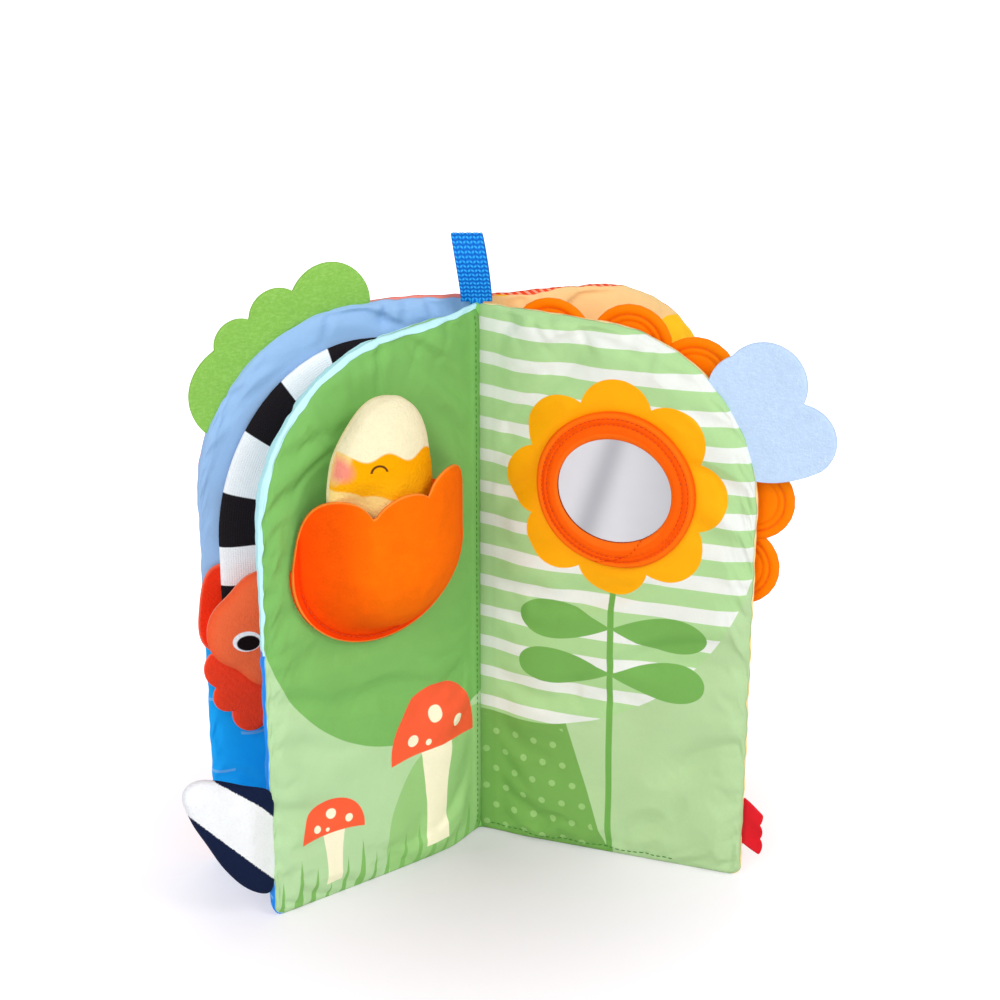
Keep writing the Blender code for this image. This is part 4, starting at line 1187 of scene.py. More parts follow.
def petal_loops(index, centre, layer):
    """One petal's loops of places, from its front's middle over the rim to its back's."""
    angle = full_turn(72)
    loops = []
    for side, profile in ((1, PETAL_PROFILE), (-1, PETAL_PROFILE[-2::-1])):
        for radius, half in profile:
            ripple = 1 + 0.004 * np.sin(23 * angle + index) * (radius > 14)
            crimp = 0.00007 * np.sin(41 * angle + 2 * index) * (9 < radius < 16) * (half > 0)
            height = layer + side * (half * MM + crimp)
            loops.append(disc_places(RIGHT_PAGE, centre, 1, radius * MM * ripple, angle, height))
    return np.array(loops)


def make_petals():
    """The garland behind the page: padded round petals with two sewn rings each."""
    finish = Finish("petal_cloth", (250, 128, 0), roughness=0.62, sheen=0.05, specular=0.06)
    reach, _, _ = finish.field("petal")
    # Painted shade: darker rings along the two sewn grooves
    finish.paint((244, 104, 0), (reach - PETAL_SEWN_RINGS[0]).size() - 0.5, 0.7, 0.8)
    finish.paint((246, 112, 0), (reach - PETAL_SEWN_RINGS[1]).size() - 0.35, 0.6, 0.8)
    finish.mottled(0.005, 3.0, 0.05)
    finish.grained(0.0005, 2.0, 0.00008)
    dark = thread("petal_thread", (228, 96, 0))
    radii = np.array([radius for radius, _ in PETAL_PROFILE + PETAL_PROFILE[-2::-1]])
    points, faces, places = [], [], []
    for index, (share_out, share_up) in enumerate(PETAL_SHARES):
        centre = (share_out * RIGHT_PAGE.width, share_up * PAGE_HEIGHT)
        layer = PAGE_FACE + CLEARANCE + PETAL_LIFT + PETAL_LAYERS[index % 2]
        loops = petal_loops(index, centre, layer)
        part = closed_loops("petal", loops, petal=np.broadcast_to(radii[:, None, None], loops.shape))
        faces += [[len(points) + number for number in face.vertices] for face in part.polygons]
        points += [tuple(vert.co) for vert in part.vertices]
        places += [(item.vector[0], 0.0, 0.0) for item in part.attributes["petal"].data]
        bpy.data.meshes.remove(part)
        for side, label in ((-1, "front"), (1, "back")):
            height = layer + side * PETAL_STITCH_LIFT
            path = disc_places(RIGHT_PAGE, centre, 1, PETAL_SEWN_RINGS[0] * MM, full_turn(72), height)
            stitched(f"petal_{index + 1}_stitches_{label}", path, RIGHT_PAGE.facing(side), dark, "right_page",
                     pitch=0.0022, length=0.0015, radius=0.00014, ring=True)
    add_piece("garland_petals", new_mesh("garland_petals", points, faces, {"petal": places}), finish.done(),
              "right_page", ("petal_garland",))


# Felt shapes, label


def arc_between(start, end, bulge_share, steps=24):
    """Points from start up to end along an arc that bulges to the right of the chord."""
    start, end = Vector(start), Vector(end)
    chord = end - start
    bulge = bulge_share * chord.length
    radius = (chord.length ** 2 / 4 + bulge ** 2) / (2 * bulge)
    normal = Vector((chord.y, -chord.x)).normalized()
    centre = (start + end) / 2 + (bulge - radius) * normal
    first = math.atan2(*(start - centre).yx)
    last = math.atan2(*(end - centre).yx)
    if last < first:
        last += 2 * math.pi
    angles = [first + (last - first) * step / steps for step in range(steps)]
    return [centre + radius * Vector((math.cos(angle), math.sin(angle))) for angle in angles]


def lobed(points, bulge_shares):
    outline = []
    for start, end, share in zip(points, points[1:], bulge_shares):
        outline += arc_between(start, end, share)
    return np.array([tuple(point) for point in outline] + [tuple(points[-1])])


def spaced(line, count):
    """A line of points at even steps."""
    way = way_along(line)
    return at_way(np.linspace(0, way[-1], count), way, line)


def seam_line(leaf, first, last, gap, steps=40):
    """Points on the page's round corner, a gap outside its seam."""
    angles = np.linspace(first, last, steps)
    out = leaf.start + (CORNER_WIDTH + gap) * np.sin(angles)
    up = CORNER_CENTRE + (CORNER_HEIGHT + gap) * np.cos(angles)
    return np.stack([out, np.where(out < leaf.start, np.maximum(up, leaf.top(out) + gap), up)], axis=1)


def corner_angle(leaf, shares):
    out, up = shares[0] * leaf.width, shares[1] * PAGE_HEIGHT
    return math.atan2((out - leaf.start) / CORNER_WIDTH, (up - CORNER_CENTRE) / CORNER_HEIGHT)


FELT_BEND = 0.009
FELT_TUCK = 0.0030


def make_felt(name, leaf, body, root_shares, notch_shares, bulge_shares, material, node, curl):
    """A lobed felt shape whose root is held in the page's seam."""
    first, last = (corner_angle(leaf, shares) for shares in root_shares)
    root = seam_line(leaf, first, last, CLEARANCE)
    tucked = seam_line(leaf, first, last, -FELT_TUCK)
    notches = [(out * leaf.width, up * PAGE_HEIGHT) for out, up in notch_shares]
    edge = lobed([tuple(root[-1]), *notches[::-1], tuple(root[0])], bulge_shares[::-1])[::-1]
    columns, rows = 110, 22
    root, tucked, edge = (spaced(line, columns + 1) for line in (root, tucked, edge))
    reach = 1 - (1 - np.linspace(0, 1, rows + 1)) ** 1.6
    flat = root + (edge - root) * reach[:, None, None]
    flat = np.concatenate([tucked[None], flat])
    rim = np.linalg.norm(edge - flat, axis=-1)
    rim[:, [0, -1]] = 0.0
    ends = np.minimum(np.linalg.norm(flat - root[0], axis=-1), np.linalg.norm(flat - root[-1], axis=-1))
    half = FELT / 2 * (0.45 + 0.55 * roll(np.minimum(rim, ends + 0.0005) / 0.0011))
    away = np.linalg.norm(flat - root, axis=-1)
    half[0] *= 0.3
    middle = leaf.seam_shift * (1 - 0.4 * smooth(away / 0.03)) + curl * (away / 0.04) ** 2
    out, up = flat[..., 0], flat[..., 1]
    middle = middle + 0.0005 * np.sin(out * 95) * np.cos(up * 70) * smooth(away / 0.012)
    chord = root[-1] - root[0]
    outward = np.array([-chord[1], chord[0]])
    outward *= np.sign(outward @ (root[0] - np.array([leaf.start, PAGE_HEIGHT / 2]))) / np.linalg.norm(chord)
    peak = root[np.argmax(root @ outward)]
    across = (leaf.place(*peak), leaf.place(*(peak + FELT_BEND * outward)))
    mesh = closed_grid(name, leaf.place(out, up, middle - half), leaf.place(out, up, middle + half))
    add_piece(name, mesh, material, (leaf.body, body), (node,), across=across)


CLOUD_ROOT = ((0.818, 0.912), (1.004, 0.745))
CLOUD_NOTCHES = ((0.889, 0.953), (1.135, 0.884), (1.206, 0.773))
CLOUD_BULGES = (0.12, 0.44, 0.33, 0.07)
CLOUD_CURL = 0.0012
BUSH_ROOT = ((0.381, 1.003), (0.964, 0.806))
BUSH_NOTCHES = ((0.646, 1.0225), (0.797, 0.985), (0.919, 0.943))
BUSH_BULGES = (0.41, 0.30, 0.30, 0.25)
BUSH_CURL = -0.0010


def make_felts():
    cloud = felted("sky_felt", (190, 214, 244), (208, 227, 252))
    bush = felted("grass_felt", (140, 194, 86), (166, 213, 112))
    make_felt("cloud_felt", RIGHT_PAGE, "cloud", CLOUD_ROOT, CLOUD_NOTCHES, CLOUD_BULGES, cloud, "felt_cloud",
              CLOUD_CURL)
    make_felt("bush_felt", FRONT_COVER, "bush", BUSH_ROOT, BUSH_NOTCHES, BUSH_BULGES, bush, "felt_bush",
              BUSH_CURL)


LABEL_ROOT = (0.0158, 0.0372)
LABEL_FREE = (0.0118, 0.0330)
LABEL_REACH = 0.0081
LABEL_HALF = 0.0006
LABEL_BEND = (0.0002, 0.0030)
LABEL_BEND_UP = 0.024


def make_label():
    """A plain folded ribbon in the seam, slanting down, with a scalloped fold."""
    finish = Finish("ribbon_cloth", (222, 6, 28), roughness=0.5, sheen=0.1, specular=0.2)
    out, up, _ = finish.field("page")
    finish.mottled(0.004, 2.0, 0.08)
    # Painted shade: darker where the ribbon comes out of the page's seam
    finish.paint((180, 2, 20), out - 120.2, 1.2, 0.6)
    finish.raise_by((up + out * 0.4).sine(0.55) * 0.5 + 0.5, 0.00008)
    share = np.concatenate([[-0.25], np.linspace(0.0, 1.0, 17)])
    level = np.linspace(0.0, 1.0, 45)[:, None]
    scallop = 0.84 + 0.16 * np.abs(np.sin(3 * math.pi * level)) ** 0.6
    reach = LABEL_REACH * scallop * (1 - 0.3 * smooth((level - 0.86) / 0.14))
    held = np.maximum(share, 0.0)
    root_up = LABEL_ROOT[0] + (LABEL_ROOT[1] - LABEL_ROOT[0]) * level
    free_up = LABEL_FREE[0] + (LABEL_FREE[1] - LABEL_FREE[0]) * level
    out = RIGHT_PAGE.width + CLEARANCE + reach * share
    up = root_up + (free_up - root_up) * held
    swell = 0.7 + 0.5 * np.sin(held * math.pi)
    fold = roll((1.02 - held) / 0.12) * np.where(share < 0, 0.5, 1.0)
    half = LABEL_HALF * fold * swell * (0.5 + 0.5 * roll(np.minimum(level, 1 - level) / 0.02 + 0.1))
    bend = RIGHT_PAGE.seam_shift + 0.0007 * np.sin(level * 7) * held
    mesh = closed_grid("label_ribbon", RIGHT_PAGE.place(out, up, bend - half),
                       RIGHT_PAGE.place(out, up, bend + half), page=triple(out, up, half) / MM)
    across = [RIGHT_PAGE.place(RIGHT_PAGE.width + past, LABEL_BEND_UP) for past in LABEL_BEND]
    add_piece("label_ribbon", mesh, finish.done(), ("right_page", "label"), ("ribbon_label",),
              across=across)


# Front cover: the striped arch and the fish


def arch_spot(leaf, across, share):
    """Place on the arch: over the shoulder of its own round corner, and down."""
    first = ARCH_START_SHARE * leaf.width
    shoulder = CORNER_CENTRE - ARCH_SHOULDER
    half_width = CORNER_WIDTH - ARCH_INSET - ARCH_WIDTH * across
    half_height = CORNER_HEIGHT + ARCH_SHOULDER - ARCH_TOP_INSET - ARCH_WIDTH * across
    run = leaf.start - first
    drop = shoulder - ARCH_FOOT_SHARE * PAGE_HEIGHT
    insets = ARCH_INSET + ARCH_TOP_INSET + ARCH_WIDTH
    bend = math.pi / 4 * (CORNER_WIDTH + CORNER_HEIGHT + ARCH_SHOULDER - insets)
    way = share * (run + bend + drop)
    if way <= run:
        return first + way, shoulder + half_height
    if way <= run + bend:
        angle = math.pi / 2 * (way - run) / bend
        return leaf.start + half_width * math.sin(angle), shoulder + half_height * math.cos(angle)
    return leaf.start + half_width, shoulder - (way - run - bend)


ARCH_BANDS = ((65.3, 223.0), (85.1, 210.4), (99.9, 192.2), (108.6, 169.3), (111.2, 146.7), (111.2, 130.0))
ARCH_LENGTH = 0.152
ARCH_LIFT = 0.0018
ARCH_LAID_SHARE = 0.35
ARCH_CROWN = 0.0030
ARCH_ROLL = 0.010
ARCH_GATHER = 0.00022


def make_arch():
    """A knitted band in black and white, crowned a little like a tube."""
    rows, columns = 170, 26
    shares = np.linspace(0, 1, rows + 1)
    sides = np.linspace(0, 1, columns + 1)
    spots = np.array([[arch_spot(FRONT_COVER, side, share) for side in sides] for share in shares])
    middle = spots[:, columns // 2] / MM
    borders = [shares[np.argmin(np.linalg.norm(middle - np.array(band), axis=1))] for band in ARCH_BANDS]
    lift = 1 - (1 - np.clip(shares / ARCH_LAID_SHARE, 0, 1)) ** 2
    low = PAGE_FACE + CLEARANCE + ARCH_LIFT * lift[:, None] + np.zeros(columns + 1)
    edge = np.minimum(sides, 1 - sides) * ARCH_WIDTH
    crown = ARCH_CROWN * roll(edge / ARCH_ROLL + 0.02) + 0.0001
    gather = ARCH_GATHER * np.sin(shares * 160)[:, None] * np.exp(-edge / 0.003)[None]
    high = low + crown[None] + gather
    field = triple(sides * ARCH_WIDTH / MM, shares[:, None] * 100, shares[:, None] * ARCH_LENGTH / MM)
    finish = Finish("rib_knit", (27, 23, 27), roughness=0.85, sheen=0.1, specular=0.1)
    across, share, way = finish.field("band")
    for start, end in zip(borders[::2], borders[1::2]):
        middle_share, half = (start + end) * 50, (end - start) * 50
        finish.paint((248, 251, 255), (share - middle_share).size() - half, 0.25)
    finish.mottled(0.003, 3.0, 0.03)
    finish.raise_by((across + way.sine(1.1) * 0.1).sine(0.95) * 0.5 + 0.5, 0.0001)
    finish.raise_by(way.sine(0.8) * 0.5 + 0.5, 0.00006)
    near, other = (FRONT_COVER.place(spots[..., 0], spots[..., 1], height) for height in (low, high))
    mesh = closed_grid("arch_knit", near, other, band=field)
    piece = add_piece("arch_knit", mesh, finish.done(), "front_cover", ("striped_arch",))
    grey = thread("arch_thread", (205, 210, 220))
    line = spots[1, 1:-1]
    path = FRONT_COVER.place(line[:, 0], line[:, 1], low[1, 1:-1] + crown[1:-1])
    stitched("arch_stitches", path, FRONT_COVER.facing(1), grey, "front_cover", pitch=0.0028)


def smooth_closed(points, count):
    """Points at even steps on a smooth closed curve through the given ones."""
    points = np.asarray(points, float)
    total = len(points)
    outline = []
    for index in range(count):
        whole = index * total / count
        base = int(whole)
        share = whole - base
        before, here, ahead, after = (points[(base + shift) % total] for shift in (-1, 0, 1, 2))
        outline.append(0.5 * (2 * here + share * (ahead - before)
                              + share ** 2 * (2 * before - 5 * here + 4 * ahead - after)
                              + share ** 3 * (3 * here - before - 3 * ahead + after)))
    return np.array(outline)


def pillow(name, leaf, outline, middle, half, fullness=2.2, rings=16, shape=None, centre=None):
    """A stuffed form on a closed outline in the page's plane, about a height proud of it."""
    outline = np.asarray(outline, float)
    centre = outline.mean(axis=0) if centre is None else np.asarray(centre)
    shares = np.sin(np.linspace(0.03, 1.0, rings) * math.pi / 2)
    loops, fields = [], []
    for side, order in ((1, shares), (-1, shares[-2::-1])):
        for share in order:
            place = centre + (outline - centre) * share
            height = side * half * np.sqrt(max(1 - share ** fullness, 0.0)) * np.ones(len(outline))
            if shape is not None:
                place, height = shape(place, height, share, side)
            loops.append(leaf.place(place[:, 0], place[:, 1], middle + height))
            fields.append(triple(place[:, 0] - centre[0], place[:, 1] - centre[1], height) / MM)
    return closed_loops(name, np.array(loops), toy=np.array(fields))


REAR_FIN_SHARES = ((0.72, 0.96), (1.03, 0.22), (0.93, -0.42), (0.10, -0.70), (-0.75, -0.25), (-0.45, 0.85))
LOWER_FIN_SHARES = (
    (0.88, -0.42), (0.83, -1.03), (0.56, -1.47), (-0.02, -1.78), (-0.58, -1.42), (-0.60, -0.50),
)
LOWER_FIN_BULGES = (0.29, 0.36, 0.36, 0.36, 0.10)
CHIN_ANGLE = 2 * math.pi - 0.934
BROW_ANGLE = 0.85
GUSSET_SPOT = (0.1138, FISH_SPOT[1] - 0.003)
GUSSET_HALF = (0.0022, 0.0075)

# Of each stuffed part of the fish: middle and half thickness, fullness and rings
FISH_HEAD_FORM = (0.01885, FISH_HALF[2], 2.6, 22)
REAR_FIN_FORM = (0.0065, 0.00075, 9.0, 12)
LOWER_FIN_FORM = (0.0121, 0.00125, 7.0, 14)
GUSSET_FORM = (0.0099, 0.0026, 3.0, 8)


def make_fish():
    """The fish that slides on the arch: a stuffed head before it, fins behind and below."""
    spot = np.array(FISH_SPOT)
    size = np.array(FISH_HALF[:2])
    head = Finish("fish_head_velour", (255, 112, 66), roughness=0.85, sheen=0.1, specular=0.04)
    across, above, height = head.field("toy")
    # Painted shade towards the rim where the head turns away, and a painted highlight along the seam
    head.paint((250, 84, 46), height.size() - 2.6, 2.0, 0.5)
    head.paint((255, 158, 128), height.size() - 0.5, 0.4, 0.7)
    white = far((across - 8.0) / 5.8, (above + 2.3) / 4.5) - 1.0
    pupil = far((across - 7.5) / 4.7, (above + 3.0) / 3.4) - 1.0
    front = height * -1 + 0.5
    head.paint((252, 252, 250), (white * 6.0).most(front), 0.4)
    head.paint((18, 14, 16), (pupil * 4.0).most(front), 0.4)
    head_material = napped(head, mottle=0.05)

    def ribbed(name, colour, dark, pitch):
        finish = Finish(name, colour, roughness=0.8, sheen=0.1, specular=0.04)
        across, above, height = finish.field("toy")
        # Painted highlight: a thin light line along the seam's rim
        finish.paint((255, 150, 120), height.size() - 0.35, 0.3, 0.6)
        wave = (across * 0.75 - above * 0.66).sine(pitch)
        finish.glaze(dark, (wave * 0.5 + 0.5) * 0.08)
        finish.raise_by(wave * 0.5 + 0.5, 0.00006)
        return napped(finish, mottle=0.05)

    rear_material = ribbed("fish_rear_velour", (252, 58, 28), (240, 38, 18), 1.6)
    fin_material = ribbed("fish_fin_velour", (255, 72, 42), (248, 62, 34), 2.6)

    angle = full_turn(72)
    from_chin = (angle - CHIN_ANGLE + math.pi) % (2 * math.pi) - math.pi
    reach = 1 - 0.19 * np.exp(-(from_chin / 0.45) ** 2) - 0.13 * np.exp(-((angle - BROW_ANGLE) / 0.42) ** 2)
    outline = spot + np.stack([np.cos(angle), np.sin(angle)], axis=1) * size * reach[:, None]
    mesh = pillow("fish_head", FRONT_COVER, outline, *FISH_HEAD_FORM)
    add_piece("fish_head", mesh, head_material, "fish",
              ("fish_head_left_panel", "fish_head_right_panel", "fish_head_stuffing"))
    rear = spot + smooth_closed(REAR_FIN_SHARES, 72) * size
    mesh = pillow("fish_rear_velour", FRONT_COVER, rear, *REAR_FIN_FORM)
    add_piece("fish_rear_fin_cloth", mesh, rear_material, "fish", ("fish_rear_fin",))
    lower = spot + lobed(LOWER_FIN_SHARES[::-1], LOWER_FIN_BULGES[::-1]) * size
    mesh = pillow("fish_lower_velour", FRONT_COVER, lower[:-1], *LOWER_FIN_FORM)
    add_piece("fish_lower_fin_cloth", mesh, fin_material, "fish", ("fish_lower_fin",))
    side = np.stack([np.cos(angle), np.sin(angle)], axis=1) * GUSSET_HALF + GUSSET_SPOT
    mesh = pillow("fish_side_velour", FRONT_COVER, side, *GUSSET_FORM)
    add_piece("fish_side_cloth", mesh, rear_material, "fish", ("fish_gusset",))


# Left page: the tulip pocket, the chick and the tail

POCKET_CUT_SHARES = (0.0, 0.3445, 0.517, 1.0)
POCKET_LOBES = (0.0590, 0.0375, 0.0495)
POCKET_SCALLOPS = (0.85, 0.50, 0.47)
POCKET_NOTCHES = (0.0310, 0.0310, 0.0330, 0.0330)
POCKET_LIP = 1.24
POCKET_FLANGE = 0.0022
POCKET_RISES = (0.0128, 0.0070)
POCKET_BACK_LOBES = (0.012, 0.027, 0.035)
POCKET_BACK_SCALLOP = 0.6
POCKET_FULL_SHARE = 0.55
POCKET_FALLS = (1.3, 2.4)
POCKET_VELOUR = 0.0014
POCKET_BACK = 0.0010
POCKET_BELLY = 0.031694
POCKET_STITCH_SHARE = 0.925


def pocket_spot(across, upward, offset, lobes, flat=False):
    """Place on the pocket, from its outer side round the front to its spine side."""
    turn = math.pi * across
    ends = (0.0, *POCKET_NOTCH_SHARES, 1.0) if flat else POCKET_CUT_SHARES
    index = sum(across >= cut for cut in ends[1:-1])
    share = (across - ends[index]) / (ends[index + 1] - ends[index])
    scallop = abs(math.sin(math.pi * share)) ** (POCKET_BACK_SCALLOP if flat else POCKET_SCALLOPS[index])
    notches = (min(lobes), min(lobes)) if flat else POCKET_NOTCHES[index:index + 2]
    notched = notches[0] + (notches[1] - notches[0]) * share
    bottom = -POCKET_DEPTH * math.sin(turn)
    top = (notched + (lobes[index] - notched) * scallop) * math.sin(turn) ** (0.9 if flat else POCKET_LIP)
    along = POCKET_HALF_WIDTH * math.cos(turn)
    above = bottom + (top - bottom) * upward
    full = math.sin(math.pi / 2 * min(upward / POCKET_FULL_SHARE, 1.0))
    fall = POCKET_FALLS[0] + (POCKET_FALLS[1] - POCKET_FALLS[0]) * (1 - math.cos(turn)) / 2
    swell = math.sin(turn) ** fall * full
    if above < 0:
        sewn = (1 - math.hypot(along / POCKET_HALF_WIDTH, above / POCKET_DEPTH)) * 0.038
    else:
        sewn = POCKET_HALF_WIDTH - abs(along)
    spineward = float(smooth((across - 0.4) / 0.2))
    rise = POCKET_RISES[0] + (POCKET_RISES[1] - POCKET_RISES[0]) * spineward
    flange = float(smooth((sewn - POCKET_FLANGE) / rise))
    proud = PAGE_FACE + CLEARANCE + offset + (0 if flat else POCKET_BELLY * swell * (0.04 + 0.96 * flange))
    return along, above, proud, sewn / MM, (top - above) / MM


def pocket_grid(columns, rows, offset, lobes, flat=False):
    levels = np.linspace(0, 1, rows + 1) ** 1.25
    steps = 0.5 - 0.5 * np.cos(np.linspace(0, math.pi, columns + 1)) * (1 - 1e-6)
    steps = 0.5 * steps + 0.5 * np.linspace(1e-6, 1 - 1e-6, columns + 1)
    return np.array([[pocket_spot(across, upward, offset, lobes, flat) for across in steps]
                     for upward in levels])


def make_pocket():
    front = Finish("tulip_velour", (255, 112, 4), roughness=0.85, sheen=0.35, specular=0.05)
    sewn, rim, _ = front.field("pocket")
    # Painted shade: redder and darker towards the sewn edge and in the stitch groove; painted highlight along
    # the top rim and edge
    front.paint((254, 54, 0), sewn - 11.0, 20.0, 0.9)
    front.paint((232, 48, 0), (sewn - 2.8).size() - 0.5, 1.2, 0.85)
    front.paint((255, 150, 60), (rim - 0.5).least(sewn - 0.5), 0.4, 0.8)
    front.mottled(0.014, 3.0, 0.07)
    front_material = napped(front, mottle=0.12)
    back = Finish("tulip_lining_velour", (244, 70, 6), roughness=0.85, sheen=0.3, specular=0.05)
    back_material = napped(back, mottle=0.06)
    low = POCKET_BACK + CLEARANCE

    def layers(name, near, thick):
        """The cloth between a grid of places and another that is proud of it."""
        inside, outside = (
            LEFT_PAGE.place(POCKET_SPOT[0] + near[..., 0], POCKET_SPOT[1] + near[..., 1], near[..., 2] + more)
            for more in (0.0, thick))
        field = triple(near[..., 3], near[..., 4], near[..., 2] + thick)
        return closed_grid(name, inside, outside, pocket=field)

    near = pocket_grid(110, 40, low, POCKET_LOBES)
    edge = roll(np.minimum(near[..., 4], 1.0) / 0.7 + 0.2)
    mesh = layers("tulip_front", near, POCKET_VELOUR * (0.35 + 0.65 * edge))
    piece = add_piece("tulip_front", mesh, front_material, "left_page", ("tulip_pocket_front",))
    mesh = layers("tulip_lining", pocket_grid(60, 16, 0.0, POCKET_BACK_LOBES, True), POCKET_BACK)
    piece = add_piece("tulip_lining", mesh, back_material, "left_page", ("tulip_pocket_back",))
    turns = np.linspace(0.06, 0.94, 140) * math.pi
    along = POCKET_HALF_WIDTH * POCKET_STITCH_SHARE * np.cos(turns)
    above = -POCKET_DEPTH * POCKET_STITCH_SHARE * np.sin(turns)
    lift = PAGE_FACE + CLEARANCE + low + POCKET_VELOUR * 1.35
    path = LEFT_PAGE.place(POCKET_SPOT[0] + along, POCKET_SPOT[1] + above, lift)
    stitched("tulip_stitches", path, LEFT_PAGE.facing(1), thread("tulip_thread", (226, 70, 8)), "left_page",
             pitch=0.0028, length=0.0019, radius=0.0002)


def make_chick():
    """A plush chick still in its egg: cap, face and shell in one stuffed form."""
    finish = Finish("chick_plush", (255, 170, 2), roughness=0.95, sheen=0.2, specular=0.05)
    across, above, height = finish.field("toy")
    finish.paint((255, 186, 24), above - 9.0, 9.0, 0.6)
    side_seam = 18.5 - (above - 16.0) * 0.45 - across
    finish.paint((253, 218, 140), side_seam, 1.2, 0.9)
    shell = above - 0.9 - across * 0.24 - (across - 3.0).sine(20.0).size() * 1.2
    finish.paint((255, 222, 140), shell, 0.9)
    waves = (across - 4.2).sine(17.5, -4.375)
    cap = waves * 1.7 + 19.0 + across * 0.10 - above
    finish.paint((248, 238, 200), cap, 0.8)
    finish.paint((252, 234, 188), height + 2.5, 0.8)
    cheek = far((across - 21.2) / 3.8, (above - 15.6) / 4.6) - 1.0
    front = height * -1 - 1.0
    finish.paint((255, 142, 132), (cheek * 4.0).most(front), 3.0, 0.9)
    lid = far(across - 8.6, above - 13.8) - 3.1
    finish.paint((96, 52, 22), (lid.size() - 0.42).most(14.4 - above).most(front), 0.35)
    finish.mottled(0.004, 4.0, 0.05)
    material = napped(finish, pile=0.0012, depth=0.0006, mottle=0.04)
    angle = full_turn(96)
    high, low = np.maximum(np.sin(angle), 0.0), np.maximum(-np.sin(angle), 0.0)
    taper = (0.92 + 0.025 * smooth((high - 0.3) / 0.6)) * (1 - 0.14 * low)
    across = CHICK_HALF[0] * taper * np.cos(angle) - 0.0026 * smooth((high - 0.35) / 0.55)
    centre = np.array(CHICK_SPOT[:2])
    outline = centre + np.stack([across, CHICK_HALF[1] * np.sin(angle)], axis=1)

    def sewn(place, height, share, side):
        """The seam round the side draws in, with small tucks."""
        tuck = 1 - 0.016 * np.exp(-((1 - share) / 0.02) ** 2)
        lump = 1 + 0.012 * np.sin(3 * angle + 1) + 0.006 * np.sin(7 * angle + side)
        place = centre + (place - centre) * (tuck * (1 + (lump - 1) * share))[:, None]
        tucked_in = smooth((centre[1] + 0.014 - place[:, 1]) / 0.014)
        tucked_in = tucked_in * smooth((place[:, 0] - centre[0]) / 0.016)
        height = height * (1 - 0.35 * tucked_in) - 0.0026 * tucked_in
        return place, height * (1 + 0.03 * np.sin(place[:, 1] * 110 + place[:, 0] * 60))

    mesh = pillow("chick_plush_body", LEFT_PAGE, outline, CHICK_SPOT[2], CHICK_HALF[2], 2.3, 30, sewn, centre)
    add_piece("chick_plush_body", mesh, material, "chick",
              ("chick_left_panel", "chick_right_panel", "chick_stuffing"))


TAIL_REACH = 0.037
TAIL_HEIGHT = 0.060
TAIL_HALF = 0.0065
TAIL_BEND = 0.006
TAIL_BEND_UP = 0.042
TAIL_CENTRE = (0.42 * TAIL_REACH, 0.54 * TAIL_HEIGHT)
TAIL_SHARES = (
    (-0.05, 0.76), (0.28, 0.87), (0.78, 1.00), (1.00, 0.93), (0.91, 0.71), (0.73, 0.49), (0.52, 0.25),
    (0.28, 0.07), (0.02, 0.00), (-0.05, 0.18), (-0.05, 0.48),
)


def make_tail():
    finish = Finish("tail_plush", (24, 34, 64), roughness=0.9, sheen=0.15, specular=0.04)
    across, above, _ = finish.field("toy")
    bulge = (across + 5.4).least(0.0) / 10.4
    upper = above - across * 0.84 - 19.0 + bulge * bulge * 2.0
    lower = across * 1.12 - above - 8.0
    fuzz = (finish.noise(0.0009, 3.0) - 0.5) * 1.6
    finish.paint((248, 250, 254), upper.most(lower) + fuzz, 0.5)
    material = napped(finish, pile=0.0011, depth=0.0005, mottle=0.05)
    points = [(share_out * TAIL_REACH, share_up * TAIL_HEIGHT) for share_out, share_up in TAIL_SHARES]
    outline = smooth_closed(points[::-1], 96) + np.array(TAIL_SPOT)
    centre = np.array(TAIL_SPOT) + np.array(TAIL_CENTRE)

    def sewn(place, height, share, _):
        tuck = 1 - 0.02 * np.exp(-((1 - share) / 0.02) ** 2)
        held = smooth((place[:, 0] - TAIL_SPOT[0] + 0.001) / 0.014)
        in_seam = LEFT_PAGE.seam_shift * (1 - smooth((place[:, 0] - TAIL_SPOT[0]) / 0.02))
        return centre + (place - centre) * tuck, height * (0.45 + 0.55 * held) + in_seam

    mesh = pillow("tail_plush_body", LEFT_PAGE, outline, 0.0, TAIL_HALF, 2.4, 22, sewn, centre)
    across = [LEFT_PAGE.place(TAIL_SPOT[0] + past, TAIL_BEND_UP) for past in (0.0, TAIL_BEND)]
    add_piece("tail_plush_body", mesh, material, ("left_page", "tail"),
              ("tail_left_panel", "tail_right_panel", "tail_stuffing"), across=across)


# Stage, light and camera


FLOOR_PAPER = 0.86
# The camera-seen floor colour is a little magenta, to cancel the green light that the pages throw on it
FLOOR_SEEN = (0.545, 0.515, 0.555)
FLOOR_SHADE_SPOT = (0.0, -0.02, 0.0)
FLOOR_REACH = 6.0
FLOOR_GLOW = 0.16
FLOOR_GLOW_RISE = 3.1
WHITE = (1.0, 1.0, 1.0, 1.0)
SKY_LIGHT = 0.46
SKY_SEEN = 1.0

# Each lamp: name, place, width and power
LAMPS = (
    ("key", (1.35, -1.15, 1.5), 0.8, 16.0),
    ("fill", (-0.6, -1.75, 1.2), 1.2, 20.0),
    ("behind", (0.2, 1.9, 1.3), 1.4, 14.0),
)
LAMP_AIM = (0.0, 0.0, 0.12)
CAMERA_PLACE = (0.00793, -0.85148, 0.48814)
CAMERA_DOWN = 21.4
CAMERA_TURN = -0.1
CAMERA_LENS = 79.2
CAMERA_SENSOR = 36.0


def seen_straight(tree):
    """1 for what the camera or a gloss sees, and 0 for the light that a surface gives to others."""
    rays = add_node(tree, "ShaderNodeLightPath").outputs
    return Term(tree, rays["Is Camera Ray"]).most(Term(tree, rays["Is Glossy Ray"]))


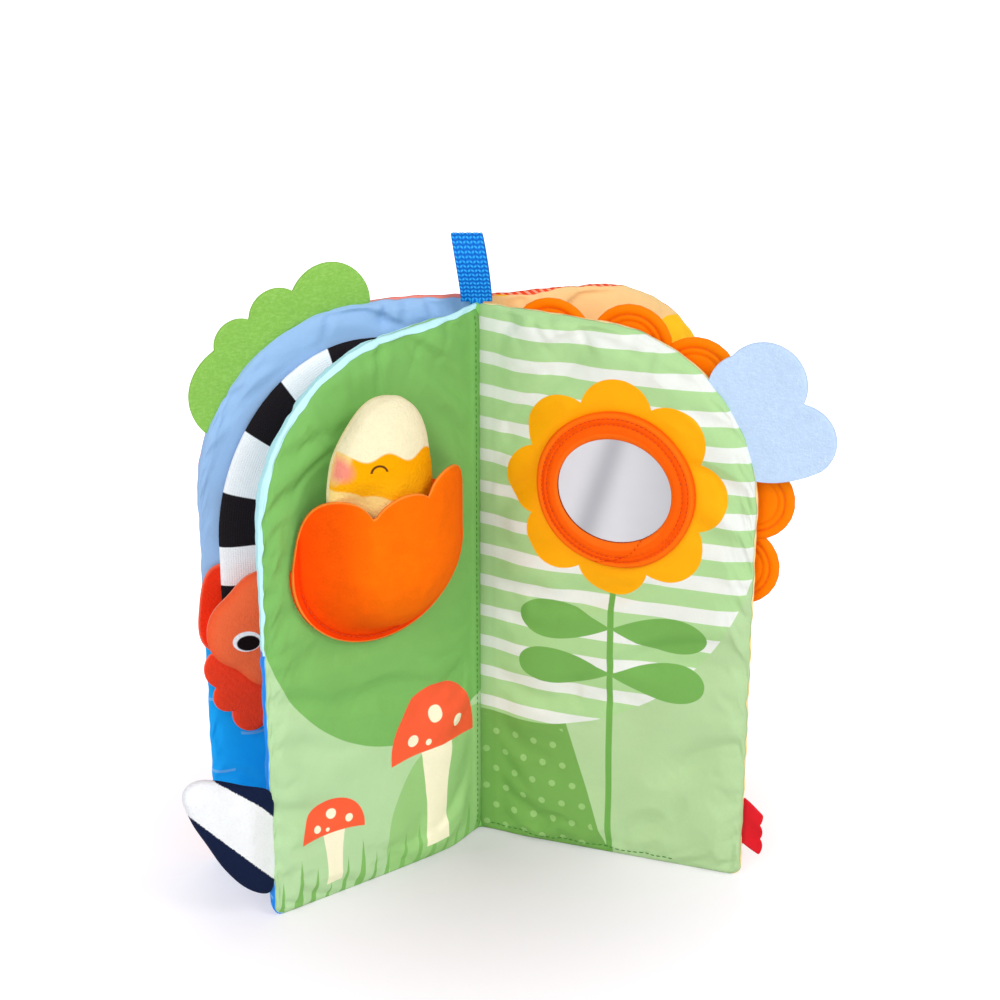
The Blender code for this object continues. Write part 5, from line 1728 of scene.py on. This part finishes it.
def make_stage():
    """A pale floor that shows nearly white away from the book, and keeps its shadow; its glow is weaker near
    the book's foot, which paints extra shade there.
    """
    mesh = bpy.data.meshes.new("floor")
    corners = [(x * FLOOR_REACH, y * FLOOR_REACH, 0) for x, y in ((-1, -1), (1, -1), (1, 1), (-1, 1))]
    mesh.from_pydata(corners, [], [(0, 1, 2, 3)])
    material = bpy.data.materials.new("floor_paper")
    material.use_nodes = True
    tree = material.node_tree
    seen = seen_straight(tree)
    parts = [FLOOR_PAPER - seen * (FLOOR_PAPER - shown) for shown in FLOOR_SEEN]
    place = add_node(tree, "ShaderNodeTexCoord").outputs["Object"]
    # Painted shade: the camera-seen glow is weakest at a spot before the spine and grows with distance, so
    # the floor round the book's foot shows darker
    apart = add_node(tree, "ShaderNodeVectorMath", {0: place, 1: FLOOR_SHADE_SPOT}, operation="DISTANCE")
    glow = (Term(tree, apart.outputs["Value"]) * FLOOR_GLOW_RISE).do("ADD", FLOOR_GLOW, clamp=True)
    feed(tree, tree.nodes["Principled BSDF"], {
        "Base Color": add_node(tree, "ShaderNodeCombineColor", dict(enumerate(parts))).outputs[0],
        "Roughness": 1.0,
        "Specular IOR Level": 0.0,
        "Emission Color": WHITE,
        "Emission Strength": seen * glow,
    })
    mesh.materials.append(material)
    add_object("floor", mesh)


def make_light():
    scene = bpy.context.scene
    scene.view_settings.view_transform = "Standard"
    scene.world = bpy.data.worlds.new("studio")
    scene.world.use_nodes = True
    tree = scene.world.node_tree
    strength = seen_straight(tree) * (SKY_SEEN - SKY_LIGHT) + SKY_LIGHT
    feed(tree, tree.nodes["Background"], {"Color": WHITE, "Strength": strength})
    for name, place, size, power in LAMPS:
        light = bpy.data.lights.new(name, "AREA")
        light.size = size
        light.energy = power
        lamp = add_object(name, light)
        lamp.location = place
        lamp.rotation_euler = (Vector(LAMP_AIM) - Vector(place)).to_track_quat("-Z", "Y").to_euler()


def make_camera():
    camera = bpy.data.cameras.new("camera")
    camera.sensor_width = CAMERA_SENSOR
    camera.lens = CAMERA_LENS
    holder = add_object("camera", camera)
    holder.location = CAMERA_PLACE
    holder.rotation_euler = (math.radians(90 - CAMERA_DOWN), 0.0, math.radians(CAMERA_TURN))
    bpy.context.scene.camera = holder


make_camera()
make_stage()
make_light()
page_skins = make_pages()
sew_pages(page_skins)
make_spine()
make_loop()
make_foil()
make_ring()
make_petals()
make_felts()
make_label()
make_arch()
make_fish()
make_pocket()
make_chick()
make_tail()
